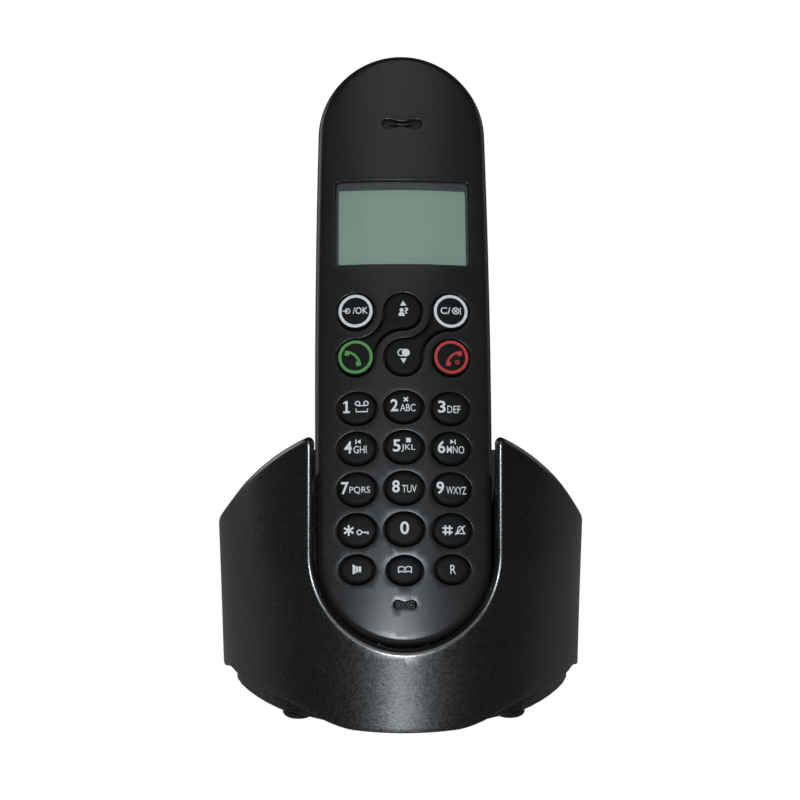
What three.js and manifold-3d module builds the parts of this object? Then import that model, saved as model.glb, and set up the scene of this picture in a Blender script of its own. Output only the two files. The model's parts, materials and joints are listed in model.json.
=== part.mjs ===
// Cordless phone in its charging base. Millimetres, +Z up, front of the base towards -Y.
import * as THREE from 'three';
import { mergeVertices } from 'three/addons/utils/BufferGeometryUtils.js';
import Module from 'manifold-3d';

const wasm = await Module();
wasm.setup();

// ---------------------------------------------------------------- driving dimensions
const GAP = 0.35;                 // clearance between pieces that touch
const LEAN = 31;                  // handset's lean back from upright, degrees

// handset: local x across, y up along the face, z out of the face; the face's lower tip is y = 0
const HANDSET_HALF_WIDTH = 23.6;
const SIDE_BULGE = 0.6;           // how much wider the handset is at its middle than at its ends
const END_RADIUS = HANDSET_HALF_WIDTH - SIDE_BULGE;
const FACE_LENGTH = 160;
const EDGE_ROUND = 2.0;           // rounding between the face and the sides
const HANDSET_THICK = 24;
const SPLIT_DEPTH = 11;           // depth of the seam between the front and rear shells
const SHELL_WALL = 1.8;
const CROWN_RADIUS = 115;         // the face curves across with this radius
const SEAT_BACK = 11.2;           // from the base's front edge to the face's lower tip
const SEAT_HEIGHT = 23.2;

const LENS_WIDTH = 35.9;
const LENS_HEIGHT = 23.7;
const LENS_CENTRE = 112.7;
const LENS_THICK = 1.2;
const LENS_LEDGE = 2.0;

const KEY_RISE = 0.9;             // key tops above the face
const KEY_DEPTH = 1.8;            // key undersides below the face
const KEY_PITCH = 12.4;
const NAV_PITCH = 12.75;
const NAV_RADIUS = 5.0;
const NAV_UPPER = 87.4;
const NAV_LOWER = NAV_UPPER - NAV_PITCH;
const NUMBER_HALF = [5.15, 4.35];
const LOWER_HALF = [4.6, 3.7];
const NUMBER_ROWS = [60.7, 49.8, 38.9, 28.0];
const LOWER_ROW = 17.8;
const ROW_ARCH = 0.3;             // the middle key stands this much above its neighbours

const MAT_TOP = 3.9;
const PANEL_TOP = 3.3;
const BOARD_TOP = 5.4;
const BOARD_THICK = 1.2;
const BOARD_SPAN = [13, 126];
const BOARD_HALF_WIDTH = 18.6;

const CELL_RADIUS = 5.25;         // AAA cell
const CELL_LENGTH = 44.5;
const CELL_DEPTH = 15.4;
const TRAY_SPAN = [62, 116];
const TRAY_WALL = 1.0;
const TRAY_FLOOR_TOP = 8.0;
const DOOR_SPAN = [60, 124];
const DOOR_HALF_WIDTH = 16.5;

const EAR_CENTRE = 141.4;
const EAR_RADIUS = 7.5;
const EAR_SLOT = [10.8, 2.6];
const MIC_CENTRE = 8.7;
const MIC_RADIUS = 2.6;
const MIC_SLOT = [5.8, 2.0];
const RINGER_CENTRE = 40;
const RINGER_RADIUS = 8.5;
const SCREW_PLACE = [14.5, 134];
const BOSS_RADIUS = 3.0;
const CONTACT_X = 6;
const CONTACT_DEPTH = 16;
const CONTACT_SIZE = [3, 5, 5];
const CONTACT_FACE = -1.3;        // contact's lower face stands a little proud of the rear shell

// base
const BASE_HALF_WIDTH = 49.1;
const BASE_FLARE = 1.7;           // extra half-width at the flare's top
const FLARE_HEIGHT = 40;
const BASE_FRONT = 47;
const BASE_REAR = 41;
const SEAT = [0, SEAT_BACK - BASE_FRONT, SEAT_HEIGHT];
const WALL_LEAN = 19;             // front wall's lean back, degrees
const WALL_FOOT = 1.3;            // height where the lean starts
const WALL_CURVE = 1.4;           // extra sweep back of the wall's lowest part
const CURVE_HEIGHT = 30;
const WALL = 2.4;
const WALL_TOP = 78;
const SKIRT = 1.8;                // lowest edge of the wall
const SKIRT_ARCH = 3.4;           // how far the skirt arches up between front and sides
const ARCH_SPAN = [15, 40, 68, 84];
const CUT_CLEAR = 0.8;            // from the handset's side to the cut
const CUT_HALF_WIDTH = HANDSET_HALF_WIDTH + CUT_CLEAR;
const CUT_LOW = 21.2;             // height of the cut's lowest point
const POCKET_CLEAR = 1.0;
const DECK_DROP = 1.6;            // deck below the wall's rim
const BACKREST_TOP = 57;
const BACKREST_MARGIN = 3.4;      // how far the backrest reaches past the handset's sides
const BACKREST_HALF_WIDTH = HANDSET_HALF_WIDTH + BACKREST_MARGIN;
const CRADLE_WALL = 2.2;
const COVER_TOP = 4.6;
const COVER_BOTTOM = 1.6;
const COVER_LIP = 1.15;           // how far the cover reaches out under the arch
const FOOT_RADIUS = 4.2;
const FOOT_SPREAD = [27.5, 26];   // half distances between the front and the rear feet
const FOOT_INSET = [16, 19];      // from the front and rear edges to the feet
const FOOT_PLACES = [[-1, 0], [1, 0], [-1, 1], [1, 1]].map(([side, row]) => [
  side * FOOT_SPREAD[row], row === 0 ? FOOT_INSET[0] - BASE_FRONT : BASE_REAR - FOOT_INSET[1]]);
const SCREW_INSET = [17, 12];
const REAR_SCREW_X = 17;
const COVER_SCREWS = [[0, SCREW_INSET[0] - BASE_FRONT], [-REAR_SCREW_X, BASE_REAR - SCREW_INSET[1]],
  [REAR_SCREW_X, BASE_REAR - SCREW_INSET[1]]];
const PIN_RADIUS = 1.1;
const PIN_LENGTH = 8;
const PAGE_RADIUS = 5;
const PAGE_Y = 31;
const JACK_X = -14;
const JACK_SIZE = [9, 12, 10];
const LINE_X = 10;
const LINE_SIZE = [13, 14, 11];
const SOCKET_FLOOR = 8.2;
const BOARD_LEVEL = 6.4;

// ---------------------------------------------------------------- solids
const solid = (geometry) => {
  const bare = geometry.index ? geometry.toNonIndexed() : geometry.clone();
  bare.deleteAttribute('normal');
  bare.deleteAttribute('uv');
  const merged = mergeVertices(bare, 1e-4);
  return new wasm.Manifold(new wasm.Mesh({
    numProp: 3,
    vertProperties: new Float32Array(merged.attributes.position.array),
    triVerts: new Uint32Array(merged.index.array),
  }));
};

const geometryOf = (manifold) => {
  const mesh = manifold.getMesh();
  const geometry = new THREE.BufferGeometry();
  geometry.setAttribute('position', new THREE.BufferAttribute(mesh.vertProperties, 3));
  geometry.setIndex(new THREE.BufferAttribute(mesh.triVerts, 1));
  geometry.computeVertexNormals();
  return geometry;
};

const cut = (body, ...tools) => tools.reduce((left, tool) => left.subtract(tool), body);
const join = (body, ...more) => more.reduce((left, tool) => left.add(tool), body);

const box = (low, high) => {
  const size = high.map((value, axis) => value - low[axis]);
  const geometry = new THREE.BoxGeometry(...size);
  geometry.translate(...high.map((value, axis) => (value + low[axis]) / 2));
  return solid(geometry);
};

// closed stack of rings, each an array of points [x, y, z] with the same count, lowest first
const loft = (rings) => {
  const count = rings[0].length;
  const points = rings.flat();
  const faces = [];
  for (let level = 0; level + 1 < rings.length; level += 1) {
    for (let i = 0; i < count; i += 1) {
      const a = level * count + i;
      const b = level * count + ((i + 1) % count);
      faces.push(a, b, b + count, a, b + count, a + count);
    }
  }
  const flat = (ring) => ring.map(([x, y]) => new THREE.Vector2(x, y));
  const top = (rings.length - 1) * count;
  THREE.ShapeUtils.triangulateShape(flat(rings[0]), []).forEach(([a, b, c]) => faces.push(c, b, a));
  THREE.ShapeUtils.triangulateShape(flat(rings.at(-1)), [])
    .forEach(([a, b, c]) => faces.push(top + a, top + b, top + c));
  const geometry = new THREE.BufferGeometry();
  geometry.setAttribute('position', new THREE.Float32BufferAttribute(points.flat(), 3));
  geometry.setIndex(faces);
  return solid(geometry);
};

const extrude = (shape, from, to, matrix = new THREE.Matrix4(), segments = 10) => {
  const geometry = new THREE.ExtrudeGeometry(shape, {
    depth: to - from, bevelEnabled: false, curveSegments: segments, steps: 1,
  });
  geometry.translate(0, 0, from);
  geometry.applyMatrix4(matrix);
  return solid(geometry);
};

const ALONG_X = new THREE.Matrix4().makeBasis(
  new THREE.Vector3(0, 1, 0), new THREE.Vector3(0, 0, 1), new THREE.Vector3(1, 0, 0));
const ALONG_Y = new THREE.Matrix4().makeBasis(
  new THREE.Vector3(1, 0, 0), new THREE.Vector3(0, 0, -1), new THREE.Vector3(0, 1, 0));

const polygon = (points) => new THREE.Shape(points.map(([x, y]) => new THREE.Vector2(x, y)));

const disc = (x, y, radius) => {
  const shape = new THREE.Shape();
  shape.absarc(x, y, radius, 0, 2 * Math.PI);
  return shape;
};

const rectangle = (x, y, width, height, radius) => {
  const [a, b] = [width / 2 - radius, height / 2 - radius];
  const shape = new THREE.Shape();
  shape.absarc(x + a, y + b, radius, 0, Math.PI / 2);
  shape.absarc(x - a, y + b, radius, Math.PI / 2, Math.PI);
  shape.absarc(x - a, y - b, radius, Math.PI, 1.5 * Math.PI);
  shape.absarc(x + a, y - b, radius, 1.5 * Math.PI, 2 * Math.PI);
  return shape;
};

// bends a solid's top to the face's crown, keeping the plane at the given depth flat
const crowned = (body, flatDepth = 1e6, step = 5) => body.refineToLength(step).warp((point) => {
  const share = Math.max(0, 1 + point[2] / flatDepth);
  point[2] -= (share * point[0] ** 2) / (2 * CROWN_RADIUS);
});

// disc standing on a face: from one depth to another along z
const rod = (x, y, radius, low, high, segments = 10) => extrude(disc(x, y, radius), low, high,
  new THREE.Matrix4(), segments);

// ---------------------------------------------------------------- handset outline
const END_STEPS = 14;
const SIDE_STEPS = 5;
const HALF_LENGTH = FACE_LENGTH / 2 + EDGE_ROUND;
const MIDDLE = FACE_LENGTH / 2;

const outline = (inset, depth) => {
  const points = [];
  const radius = END_RADIUS - inset;
  const reach = HALF_LENGTH - END_RADIUS;
  const bulge = HANDSET_HALF_WIDTH - END_RADIUS;
  [1, -1].forEach((side) => {
    for (let i = 0; i < END_STEPS; i += 1) {
      const turn = Math.PI * (i / END_STEPS);
      points.push([side * radius * Math.cos(turn), MIDDLE + side * (reach + radius * Math.sin(turn)), depth]);
    }
    for (let i = 0; i < SIDE_STEPS; i += 1) {
      const along = 1 - (2 * i) / SIDE_STEPS;
      points.push([-side * (radius + bulge * (1 - along * along)), MIDDLE + side * reach * along, depth]);
    }
  });
  return points;
};

const FRONT_PROFILE = [[-SPLIT_DEPTH, 0], [-EDGE_ROUND, 0], [-0.95, 0.3], [-0.3, 0.95], [0, EDGE_ROUND]];
const REAR_PROFILE = [[-HANDSET_THICK, 7.5], [-HANDSET_THICK + 0.8, 4.2], [-HANDSET_THICK + 2.6, 1.8],
  [-HANDSET_THICK + 6, 0.4], [-SPLIT_DEPTH - GAP, 0]];
const FRONT_HOLLOW = [[-SPLIT_DEPTH - 1, SHELL_WALL], [-SHELL_WALL - 1, SHELL_WALL],
  [-SHELL_WALL, SHELL_WALL + 1.2]];
const REAR_HOLLOW = [[-HANDSET_THICK + SHELL_WALL, 8.2], [-HANDSET_THICK + SHELL_WALL + 1.2, 5],
  [-HANDSET_THICK + 5, 2.8], [-HANDSET_THICK + 8, SHELL_WALL + 0.2], [-SPLIT_DEPTH + 1, SHELL_WALL]];
const lofted = (profile) => loft(profile.map(([depth, inset]) => outline(inset, depth)));

// ---------------------------------------------------------------- keys
const navX = (column) => column * NAV_PITCH;

// two discs on a diagonal, joined by a neck that curls round the keys on both sides of it
const rockerEnds = (side) => [
  [navX(side < 0 ? 0 : 1), NAV_UPPER], [navX(side < 0 ? -1 : 0), NAV_LOWER],
];

const rockerSolid = (side, grow, low, high) => {
  const [[right, top], [left, bottom]] = rockerEnds(side);
  const radius = NAV_RADIUS + grow;
  const hollow = [[left, top], [right, bottom]].map(([x, y]) => (
    rod(x, y, NAV_PITCH - radius, low - 1, high + 1)));
  return join(
    cut(box([left, bottom, low], [right, top, high]), ...hollow),
    ...rockerEnds(side).map(([x, y]) => rod(x, y, radius, low, high)),
  );
};

const roundKeys = [
  { name: 'key_ok', x: navX(-1), y: NAV_UPPER, half: [NAV_RADIUS, NAV_RADIUS] },
  { name: 'key_end', x: navX(1), y: NAV_LOWER, half: [NAV_RADIUS, NAV_RADIUS] },
];
const numberNames = [['1', '2', '3'], ['4', '5', '6'], ['7', '8', '9'], ['star', '0', 'hash']];
numberNames.forEach((row, r) => row.forEach((label, c) => roundKeys.push({
  name: `key_${label}`,
  x: (c - 1) * KEY_PITCH,
  y: NUMBER_ROWS[r] + (c === 1 ? ROW_ARCH : 0),
  half: NUMBER_HALF,
})));
['speaker', 'phonebook', 'recall'].forEach((label, c) => roundKeys.push({
  name: `key_${label}`,
  x: (c - 1) * KEY_PITCH,
  y: LOWER_ROW - (c === 1 ? ROW_ARCH : 0),
  half: LOWER_HALF,
}));
const rockers = [{ name: 'rocker_up_call', side: -1 }, { name: 'rocker_down_clear', side: 1 }];

const ellipseRing = ({ x, y, half }, grow, depth, count = 20) => Array.from({ length: count }, (_, i) => {
  const turn = (2 * Math.PI * i) / count;
  return [x + (half[0] + grow) * Math.cos(turn), y + (half[1] + grow) * Math.sin(turn), depth];
});

const keyCap = (key) => crowned(loft([
  ellipseRing(key, 0, -KEY_DEPTH),
  ellipseRing(key, 0, 0),
  ellipseRing(key, -0.7, KEY_RISE - 0.15),
  ellipseRing(key, -1.2, KEY_RISE),
]), 1e6, 30);

const rockerCap = ({ side }) => crowned(join(
  rockerSolid(side, 0, -KEY_DEPTH, 0),
  rockerSolid(side, -0.6, -0.5, KEY_RISE),
), 1e6, 30);

// ---------------------------------------------------------------- handset pieces
const slotShape = (y, [width, height]) => rectangle(0, y, width, height, height / 2 - 0.01);
const SCREW_SIDES = [['left', -1], ['right', 1]];

const frontShell = () => {
  const lensSeat = rectangle(0, LENS_CENTRE, LENS_WIDTH + 2 * GAP, LENS_HEIGHT + 2 * GAP, 1.2);
  const window = rectangle(0, LENS_CENTRE, LENS_WIDTH - 2 * LENS_LEDGE, LENS_HEIGHT - 2 * LENS_LEDGE, 0.8);
  const holes = [
    crowned(extrude(lensSeat, -LENS_THICK - GAP, 2, undefined, 3)),
    extrude(window, -SHELL_WALL - 3, 0, undefined, 3),
    extrude(slotShape(EAR_CENTRE, EAR_SLOT), -SHELL_WALL - 3, 1, undefined, 5),
    extrude(slotShape(MIC_CENTRE, MIC_SLOT), -SHELL_WALL - 3, 1, undefined, 5),
    ...roundKeys.map((key) => loft([-SHELL_WALL - 3, 1].map((z) => ellipseRing(key, GAP, z)))),
    ...rockers.map(({ side }) => rockerSolid(side, GAP, -SHELL_WALL - 3, 1)),
  ];
  const bosses = SCREW_SIDES.map(([, side]) => cut(
    rod(side * SCREW_PLACE[0], SCREW_PLACE[1], BOSS_RADIUS, -SPLIT_DEPTH, -SHELL_WALL - 0.9),
    rod(side * SCREW_PLACE[0], SCREW_PLACE[1], 1.2 + GAP, -SPLIT_DEPTH - 1, -SHELL_WALL - 2.4, 6),
  ));
  const shell = cut(crowned(lofted(FRONT_PROFILE), SPLIT_DEPTH, 7),
    crowned(lofted(FRONT_HOLLOW), SPLIT_DEPTH, 7));
  return join(cut(shell, ...holes), ...bosses);
};

const doorPrism = (grow) => box(
  [-DOOR_HALF_WIDTH - grow, DOOR_SPAN[0] - grow, -HANDSET_THICK - 1],
  [DOOR_HALF_WIDTH + grow, DOOR_SPAN[1] + grow, -HANDSET_THICK + 5],
);

const contactBox = (side, grow) => {
  const [width, height, length] = CONTACT_SIZE;
  const x = side * CONTACT_X;
  return box(
    [x - width / 2 - grow, CONTACT_FACE - grow, -CONTACT_DEPTH - height / 2 - grow],
    [x + width / 2 + grow, CONTACT_FACE + length + grow, -CONTACT_DEPTH + height / 2 + grow],
  );
};

const rearShell = () => {
  const soundSlots = [-4, 0, 4].map((offset) => extrude(
    rectangle(0, RINGER_CENTRE + offset, 10, 1.4, 0.65),
    -HANDSET_THICK - 1, -HANDSET_THICK + 3, undefined, 3));
  const screwHoles = SCREW_SIDES.flatMap(([, side]) => {
    const [x, y] = [side * SCREW_PLACE[0], SCREW_PLACE[1]];
    return [rod(x, y, 2.4 + GAP, -HANDSET_THICK - 1, -HANDSET_THICK + 5.2)];
  });
  const bosses = SCREW_SIDES.map(([, side]) => rod(side * SCREW_PLACE[0], SCREW_PLACE[1], BOSS_RADIUS + 0.8,
    -HANDSET_THICK + SHELL_WALL - 0.4, -SPLIT_DEPTH - GAP));
  const bores = SCREW_SIDES.map(([, side]) => rod(side * SCREW_PLACE[0], SCREW_PLACE[1], 1.2 + GAP,
    -HANDSET_THICK, -SPLIT_DEPTH + 1, 6));
  const shell = join(cut(lofted(REAR_PROFILE), lofted(REAR_HOLLOW)), ...bosses);
  const contacts = SCREW_SIDES.map(([, side]) => contactBox(side, GAP).add(
    box([side * CONTACT_X - CONTACT_SIZE[0] / 2 - GAP, -6, -CONTACT_DEPTH - CONTACT_SIZE[1] / 2 - GAP],
      [side * CONTACT_X + CONTACT_SIZE[0] / 2 + GAP, 2, -CONTACT_DEPTH + CONTACT_SIZE[1] / 2 + GAP])));
  return cut(shell, doorPrism(GAP), ...soundSlots, ...screwHoles, ...bores, ...contacts);
};

const batteryDoor = () => cut(lofted(REAR_PROFILE), lofted(REAR_HOLLOW)).intersect(doorPrism(0));

const screw = (x, y, head, length, up) => join(
  rod(x, y, 2.4, Math.min(head, head + up * 1.4), Math.max(head, head + up * 1.4), 6),
  rod(x, y, 1.2, Math.min(head + up, head + up * length), Math.max(head + up, head + up * length), 4),
);

const displayLens = () => crowned(loft([
  [-LENS_THICK, 0], [-0.25, 0], [0, 0.25],
].map(([depth, inset]) => rectangle(0, LENS_CENTRE, LENS_WIDTH - 2 * inset, LENS_HEIGHT - 2 * inset, 1)
  .getPoints(3).slice(0, -1).map(({ x, y }) => [x, y, depth]))));

const displayModule = () => extrude(rectangle(0, LENS_CENTRE - 0.6, LENS_WIDTH, LENS_HEIGHT + 2.6, 0.8),
  -BOARD_TOP + GAP, -PANEL_TOP, undefined, 2);

const keyMat = () => {
  const top = NAV_UPPER + NAV_RADIUS + 3;
  const low = LOWER_ROW - LOWER_HALF[1] - 2;
  const sheet = extrude(rectangle(0, (top + low) / 2, 37, top - low, 6), -BOARD_TOP + GAP, -MAT_TOP - 0.5,
    undefined, 4);
  const domes = [...roundKeys, ...rockers.flatMap(({ side }) => rockerEnds(side)
    .map(([x, y]) => ({ x, y, half: [NAV_RADIUS, NAV_RADIUS] })))];
  return join(sheet, ...domes.map((key) => loft([
    ellipseRing(key, -1.2, -MAT_TOP - 1, 10), ellipseRing(key, -1.8, -MAT_TOP, 10)])));
};

const handsetBoard = () => extrude(
  rectangle(0, (BOARD_SPAN[0] + BOARD_SPAN[1]) / 2, 2 * BOARD_HALF_WIDTH, BOARD_SPAN[1] - BOARD_SPAN[0], 8),
  -BOARD_TOP - BOARD_THICK, -BOARD_TOP, undefined, 5);

const CELL_X = CELL_RADIUS + 0.5;
const CELL_START = TRAY_SPAN[0] + TRAY_WALL + 4;

const batteryTray = () => {
  const half = 2 * CELL_RADIUS + 1.6;
  const wall = TRAY_WALL;
  const deep = HANDSET_THICK - SHELL_WALL - 1.2;
  return cut(
    box([-half - wall, TRAY_SPAN[0], -deep], [half + wall, TRAY_SPAN[1], -TRAY_FLOOR_TOP]),
    box([-half, TRAY_SPAN[0] + wall, -deep - 1], [half, TRAY_SPAN[1] - wall, -TRAY_FLOOR_TOP - wall]),
  );
};

// rod along y, at an x and a depth below the xy plane
const rodAlong = (x, depth, radius, from, to, segments = 10) => extrude(disc(x, depth, radius), from, to,
  ALONG_Y, segments);

const batteryCell = (side) => {
  const lathe = new THREE.LatheGeometry([
    [0, 0], [CELL_RADIUS - 0.4, 0], [CELL_RADIUS, 0.4], [CELL_RADIUS, CELL_LENGTH - 1.6],
    [CELL_RADIUS - 0.6, CELL_LENGTH - 1], [1.8, CELL_LENGTH - 1], [1.8, CELL_LENGTH], [0, CELL_LENGTH],
  ].map(([r, y]) => new THREE.Vector2(r, y)), 24);
  if (side > 0) {
    lathe.rotateZ(Math.PI);
    lathe.translate(0, CELL_LENGTH, 0);
  }
  lathe.translate(side * CELL_X, CELL_START, -CELL_DEPTH);
  return solid(lathe);
};

const cellContact = (end) => {
  const y = end < 0 ? TRAY_SPAN[0] + TRAY_WALL + GAP : TRAY_SPAN[1] - TRAY_WALL - GAP - 0.6;
  const plate = box([-9.5, y, -CELL_DEPTH - 4], [9.5, y + 0.6, -CELL_DEPTH + 4]);
  const reach = end < 0 ? [y + 0.3, CELL_START - GAP] : [CELL_START + CELL_LENGTH + GAP, y + 0.3];
  const cones = [-1, 1].map((side) => box(
    [side * CELL_X - 1.6, reach[0], -CELL_DEPTH - 1.6], [side * CELL_X + 1.6, reach[1], -CELL_DEPTH + 1.6]));
  return join(plate, ...cones);
};

// ---------------------------------------------------------------- base surfaces
const RADIANS = Math.PI / 180;
const SLOPE = Math.tan(WALL_LEAN * RADIANS);
const RING_STEPS = 72;
const clamp = (value) => Math.min(Math.max(value, 0), 1);
const smooth = (value) => clamp(value) ** 2 * (3 - 2 * clamp(value));

// point of the base's skin, inset square to it, at a turn from the front and a height
const skin = (turn, height, inset) => {
  const flare = clamp((height - WALL_FOOT) / (FLARE_HEIGHT - WALL_FOOT));
  const across = BASE_HALF_WIDTH + BASE_FLARE * flare - inset;
  const rise = clamp((height - WALL_FOOT) / CURVE_HEIGHT);
  const centre = SLOPE * (height - WALL_FOOT) + WALL_CURVE * (1 - (1 - rise) ** 2);
  const along = Math.cos(turn) > 0 ? BASE_FRONT - inset : BASE_REAR - inset - centre;
  return [across * Math.sin(turn), centre - along * Math.cos(turn), height];
};

// 1 where the skirt is arched up between the front and each side, 0 elsewhere
const arch = (turn) => {
  const away = Math.abs(Math.atan2(Math.sin(turn), Math.cos(turn))) / RADIANS;
  const [start, full, fall, end] = ARCH_SPAN;
  return smooth((away - start) / (full - start)) * smooth((end - away) / (end - fall));
};
const skirt = (turn) => SKIRT + SKIRT_ARCH * arch(turn);

const skinSolid = (inset, bottom, top, arched) => {
  const levels = [0, 0.06, 0.14, 0.26, 0.38, 0.6, 1];
  const ring = (level, more) => Array.from({ length: RING_STEPS }, (_, i) => {
    const turn = (2 * Math.PI * i) / RING_STEPS;
    const low = arched ? skirt(turn) : bottom;
    return skin(turn, low + (top - low) * level, inset + more);
  });
  const rings = levels.map((level) => ring(level, 0));
  return loft(arched ? [ring(0, 3 * WALL), ...rings] : rings);
};

// rim of the base seen from the side: steep behind the tips, levelling towards the rear
const RIM = [[-22.6, 82.5], [-16.2, 71.6], [-7.2, 56.8], [-1.8, 48.9], [9.2, 39.3], [21, 33], [32.5, 29.5],
  [46, 27.5]];
const rimCurve = (drop) => new THREE.CatmullRomCurve3(
  RIM.map(([y, z]) => new THREE.Vector3(y, z - drop, 0))).getPoints(28).map(({ x, y }) => [x, y]);
const aboveRim = (drop) => {
  const around = [[60, 20], [60, 120], [-70, 120], [-70, RIM[0][1]]];
  return extrude(polygon([...rimCurve(drop), ...around]), -70, 70, ALONG_X);
};
const deckHeight = (y) => {
  const line = rimCurve(DECK_DROP);
  const i = line.findIndex(([at]) => at > y);
  const [a, b] = [line[i - 1], line[i]];
  return a[1] + ((b[1] - a[1]) * (y - a[0])) / (b[0] - a[0]);
};

// U-shaped cut, square to the front wall
const frontCut = () => {
  const low = (CUT_LOW - WALL_FOOT) / Math.cos(WALL_LEAN * RADIANS);
  const shape = new THREE.Shape();
  const centre = low + CUT_HALF_WIDTH;
  shape.moveTo(CUT_HALF_WIDTH, 140);
  shape.lineTo(-CUT_HALF_WIDTH, 140);
  shape.absarc(0, centre, CUT_HALF_WIDTH, Math.PI, 2 * Math.PI);
  const matrix = new THREE.Matrix4().makeRotationX((90 - WALL_LEAN) * RADIANS);
  matrix.setPosition(0, -BASE_FRONT, WALL_FOOT);
  return extrude(shape, -34, 30, matrix, 14);
};

const handsetMatrix = new THREE.Matrix4().makeRotationX((90 - LEAN) * RADIANS);
handsetMatrix.setPosition(...SEAT);
const toBase = (manifold) => {
  const geometry = geometryOf(manifold);
  geometry.applyMatrix4(handsetMatrix);
  return solid(geometry);
};

// the handset's own shape grown all round, open upwards and towards the front
const handsetShaft = (grow) => {
  const ring = (depth) => outline(-grow, depth).map(([x, y, z]) => [x, y > MIDDLE ? y + 60 : y, z]);
  return toBase(loft([ring(-HANDSET_THICK - grow), ring(40)]));
};

// ---------------------------------------------------------------- base pieces
const socketBox = (x, [width, depth, height], grow) => box(
  [x - width / 2 - grow, BASE_REAR - depth - grow, SOCKET_FLOOR - grow],
  [x + width / 2 + grow, BASE_REAR + 3, SOCKET_FLOOR + height + grow],
);

const baseShell = () => cut(
  skinSolid(0, SKIRT, WALL_TOP, true),
  skinSolid(WALL, -3, WALL_TOP + 4, false),
  aboveRim(0),
  frontCut(),
  socketBox(JACK_X, JACK_SIZE, GAP),
  socketBox(LINE_X, LINE_SIZE, GAP),
);

const backrestShape = (inset) => {
  const slope = Math.tan(LEAN * RADIANS);
  const rear = HANDSET_THICK + POCKET_CLEAR;
  const foot = [SEAT[1] + rear * Math.cos(LEAN * RADIANS), SEAT[2] - rear * Math.sin(LEAN * RADIANS)];
  const top = BACKREST_TOP - inset;
  const front = foot[0] + (top - foot[1]) * slope + inset;
  return polygon([[front - top * slope, 0], [front, top], [front + 4 - 1.6 * inset, top - 1],
    [front + 7 - 2 * inset, top - 12], [26 - inset, 24], [26 - inset, 0]].reverse());
};

const INNER = WALL + GAP;
const underRim = (drop) => cut(skinSolid(INNER, COVER_TOP + GAP, WALL_TOP, false), aboveRim(drop));

// plate following the rim, open where the handset stands
const cradleDeck = () => cut(
  underRim(DECK_DROP).intersect(aboveRim(DECK_DROP + CRADLE_WALL)),
  handsetShaft(POCKET_CLEAR + CRADLE_WALL + GAP),
  rod(0, PAGE_Y, PAGE_RADIUS + GAP, 10, 60),
);

// trough round the handset's foot
const cradleWell = () => {
  const bores = SCREW_SIDES.map(([, side]) => toBase(
    rodAlong(side * CONTACT_X, CONTACT_DEPTH, PIN_RADIUS + GAP, -9, 4, 5)));
  const trough = cut(handsetShaft(POCKET_CLEAR + CRADLE_WALL), handsetShaft(POCKET_CLEAR), ...bores);
  return trough.intersect(underRim(DECK_DROP));
};

// hollow hump behind the handset, standing on the deck
const backrest = () => {
  const half = BACKREST_HALF_WIDTH;
  const outside = extrude(backrestShape(0), -half, half, ALONG_X).intersect(aboveRim(DECK_DROP - GAP));
  const inside = extrude(backrestShape(CRADLE_WALL), -half + CRADLE_WALL, half - CRADLE_WALL, ALONG_X);
  return cut(outside, inside, handsetShaft(POCKET_CLEAR));
};

const baseCover = () => {
  const edge = WALL + GAP;
  const ring = ([height, inset]) => Array.from({ length: RING_STEPS }, (_, i) => {
    const turn = (2 * Math.PI * i) / RING_STEPS;
    return skin(turn, height, inset - COVER_LIP * smooth((arch(turn) - 0.85) / 0.15));
  });
  const levels = [[COVER_BOTTOM, edge + 0.6], [COVER_BOTTOM + 0.5, edge], [COVER_TOP - GAP, edge]];
  const plate = loft(levels.map(ring));
  return cut(plate, ...COVER_SCREWS.map(([x, y]) => rod(x, y, 2.4 + GAP, 0, COVER_BOTTOM + 1.4 + GAP)),
    ...COVER_SCREWS.map(([x, y]) => rod(x, y, 1.2 + GAP, 0, COVER_TOP + 1, 6)));
};

const chargePin = (side) => rodAlong(side * CONTACT_X, CONTACT_DEPTH, PIN_RADIUS,
  CONTACT_FACE - PIN_LENGTH, CONTACT_FACE - GAP, 5);

const pageKey = () => {
  const top = deckHeight(PAGE_Y);
  return loft([[top - 4, 0], [top + 0.6, 0], [top + 1.2, 0.7]].map(([height, inset]) => ellipseRing(
    { x: 0, y: PAGE_Y, half: [PAGE_RADIUS, PAGE_RADIUS] }, -inset, height)));
};

const socket = (x, size, mouth) => {
  const [width, depth, height] = size;
  const face = BASE_REAR - 1.2;
  const middle = SOCKET_FLOOR + height / 2;
  return cut(
    box([x - width / 2, face - depth + 2, SOCKET_FLOOR], [x + width / 2, face, SOCKET_FLOOR + height]),
    mouth(x, middle, face),
  );
};
const roundMouth = (x, z, face) => rodAlong(x, -z, 3.2, face - 9, face + 1, 6);
const squareMouth = (x, z, face) => box([x - 4.9, face - 10, z - 3.6], [x + 4.9, face + 1, z + 3.6]);

const baseBoard = () => box([-26, -6, BOARD_LEVEL - 1.4], [26, BASE_REAR - LINE_SIZE[1] - 2.5, BOARD_LEVEL]);

// ---------------------------------------------------------------- materials and assembly
const finish = (color, roughness, metalness = 0, extra = {}) => new THREE.MeshStandardMaterial(
  { color, roughness, metalness, ...extra });
const casing = () => finish(0x222326, 0.45);
const rubber = () => finish(0x1b1b1c, 0.85);
const keyPlastic = () => finish(0x1d1e20, 0.5);
const steel = () => finish(0xb8babd, 0.3, 1);
const gold = () => finish(0xd0a850, 0.3, 1);
const green = () => finish(0x2f5d3a, 0.6);

const piece = (name, manifold, material) => {
  const mesh = new THREE.Mesh(geometryOf(manifold), material);
  mesh.name = name;
  return mesh;
};

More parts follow.
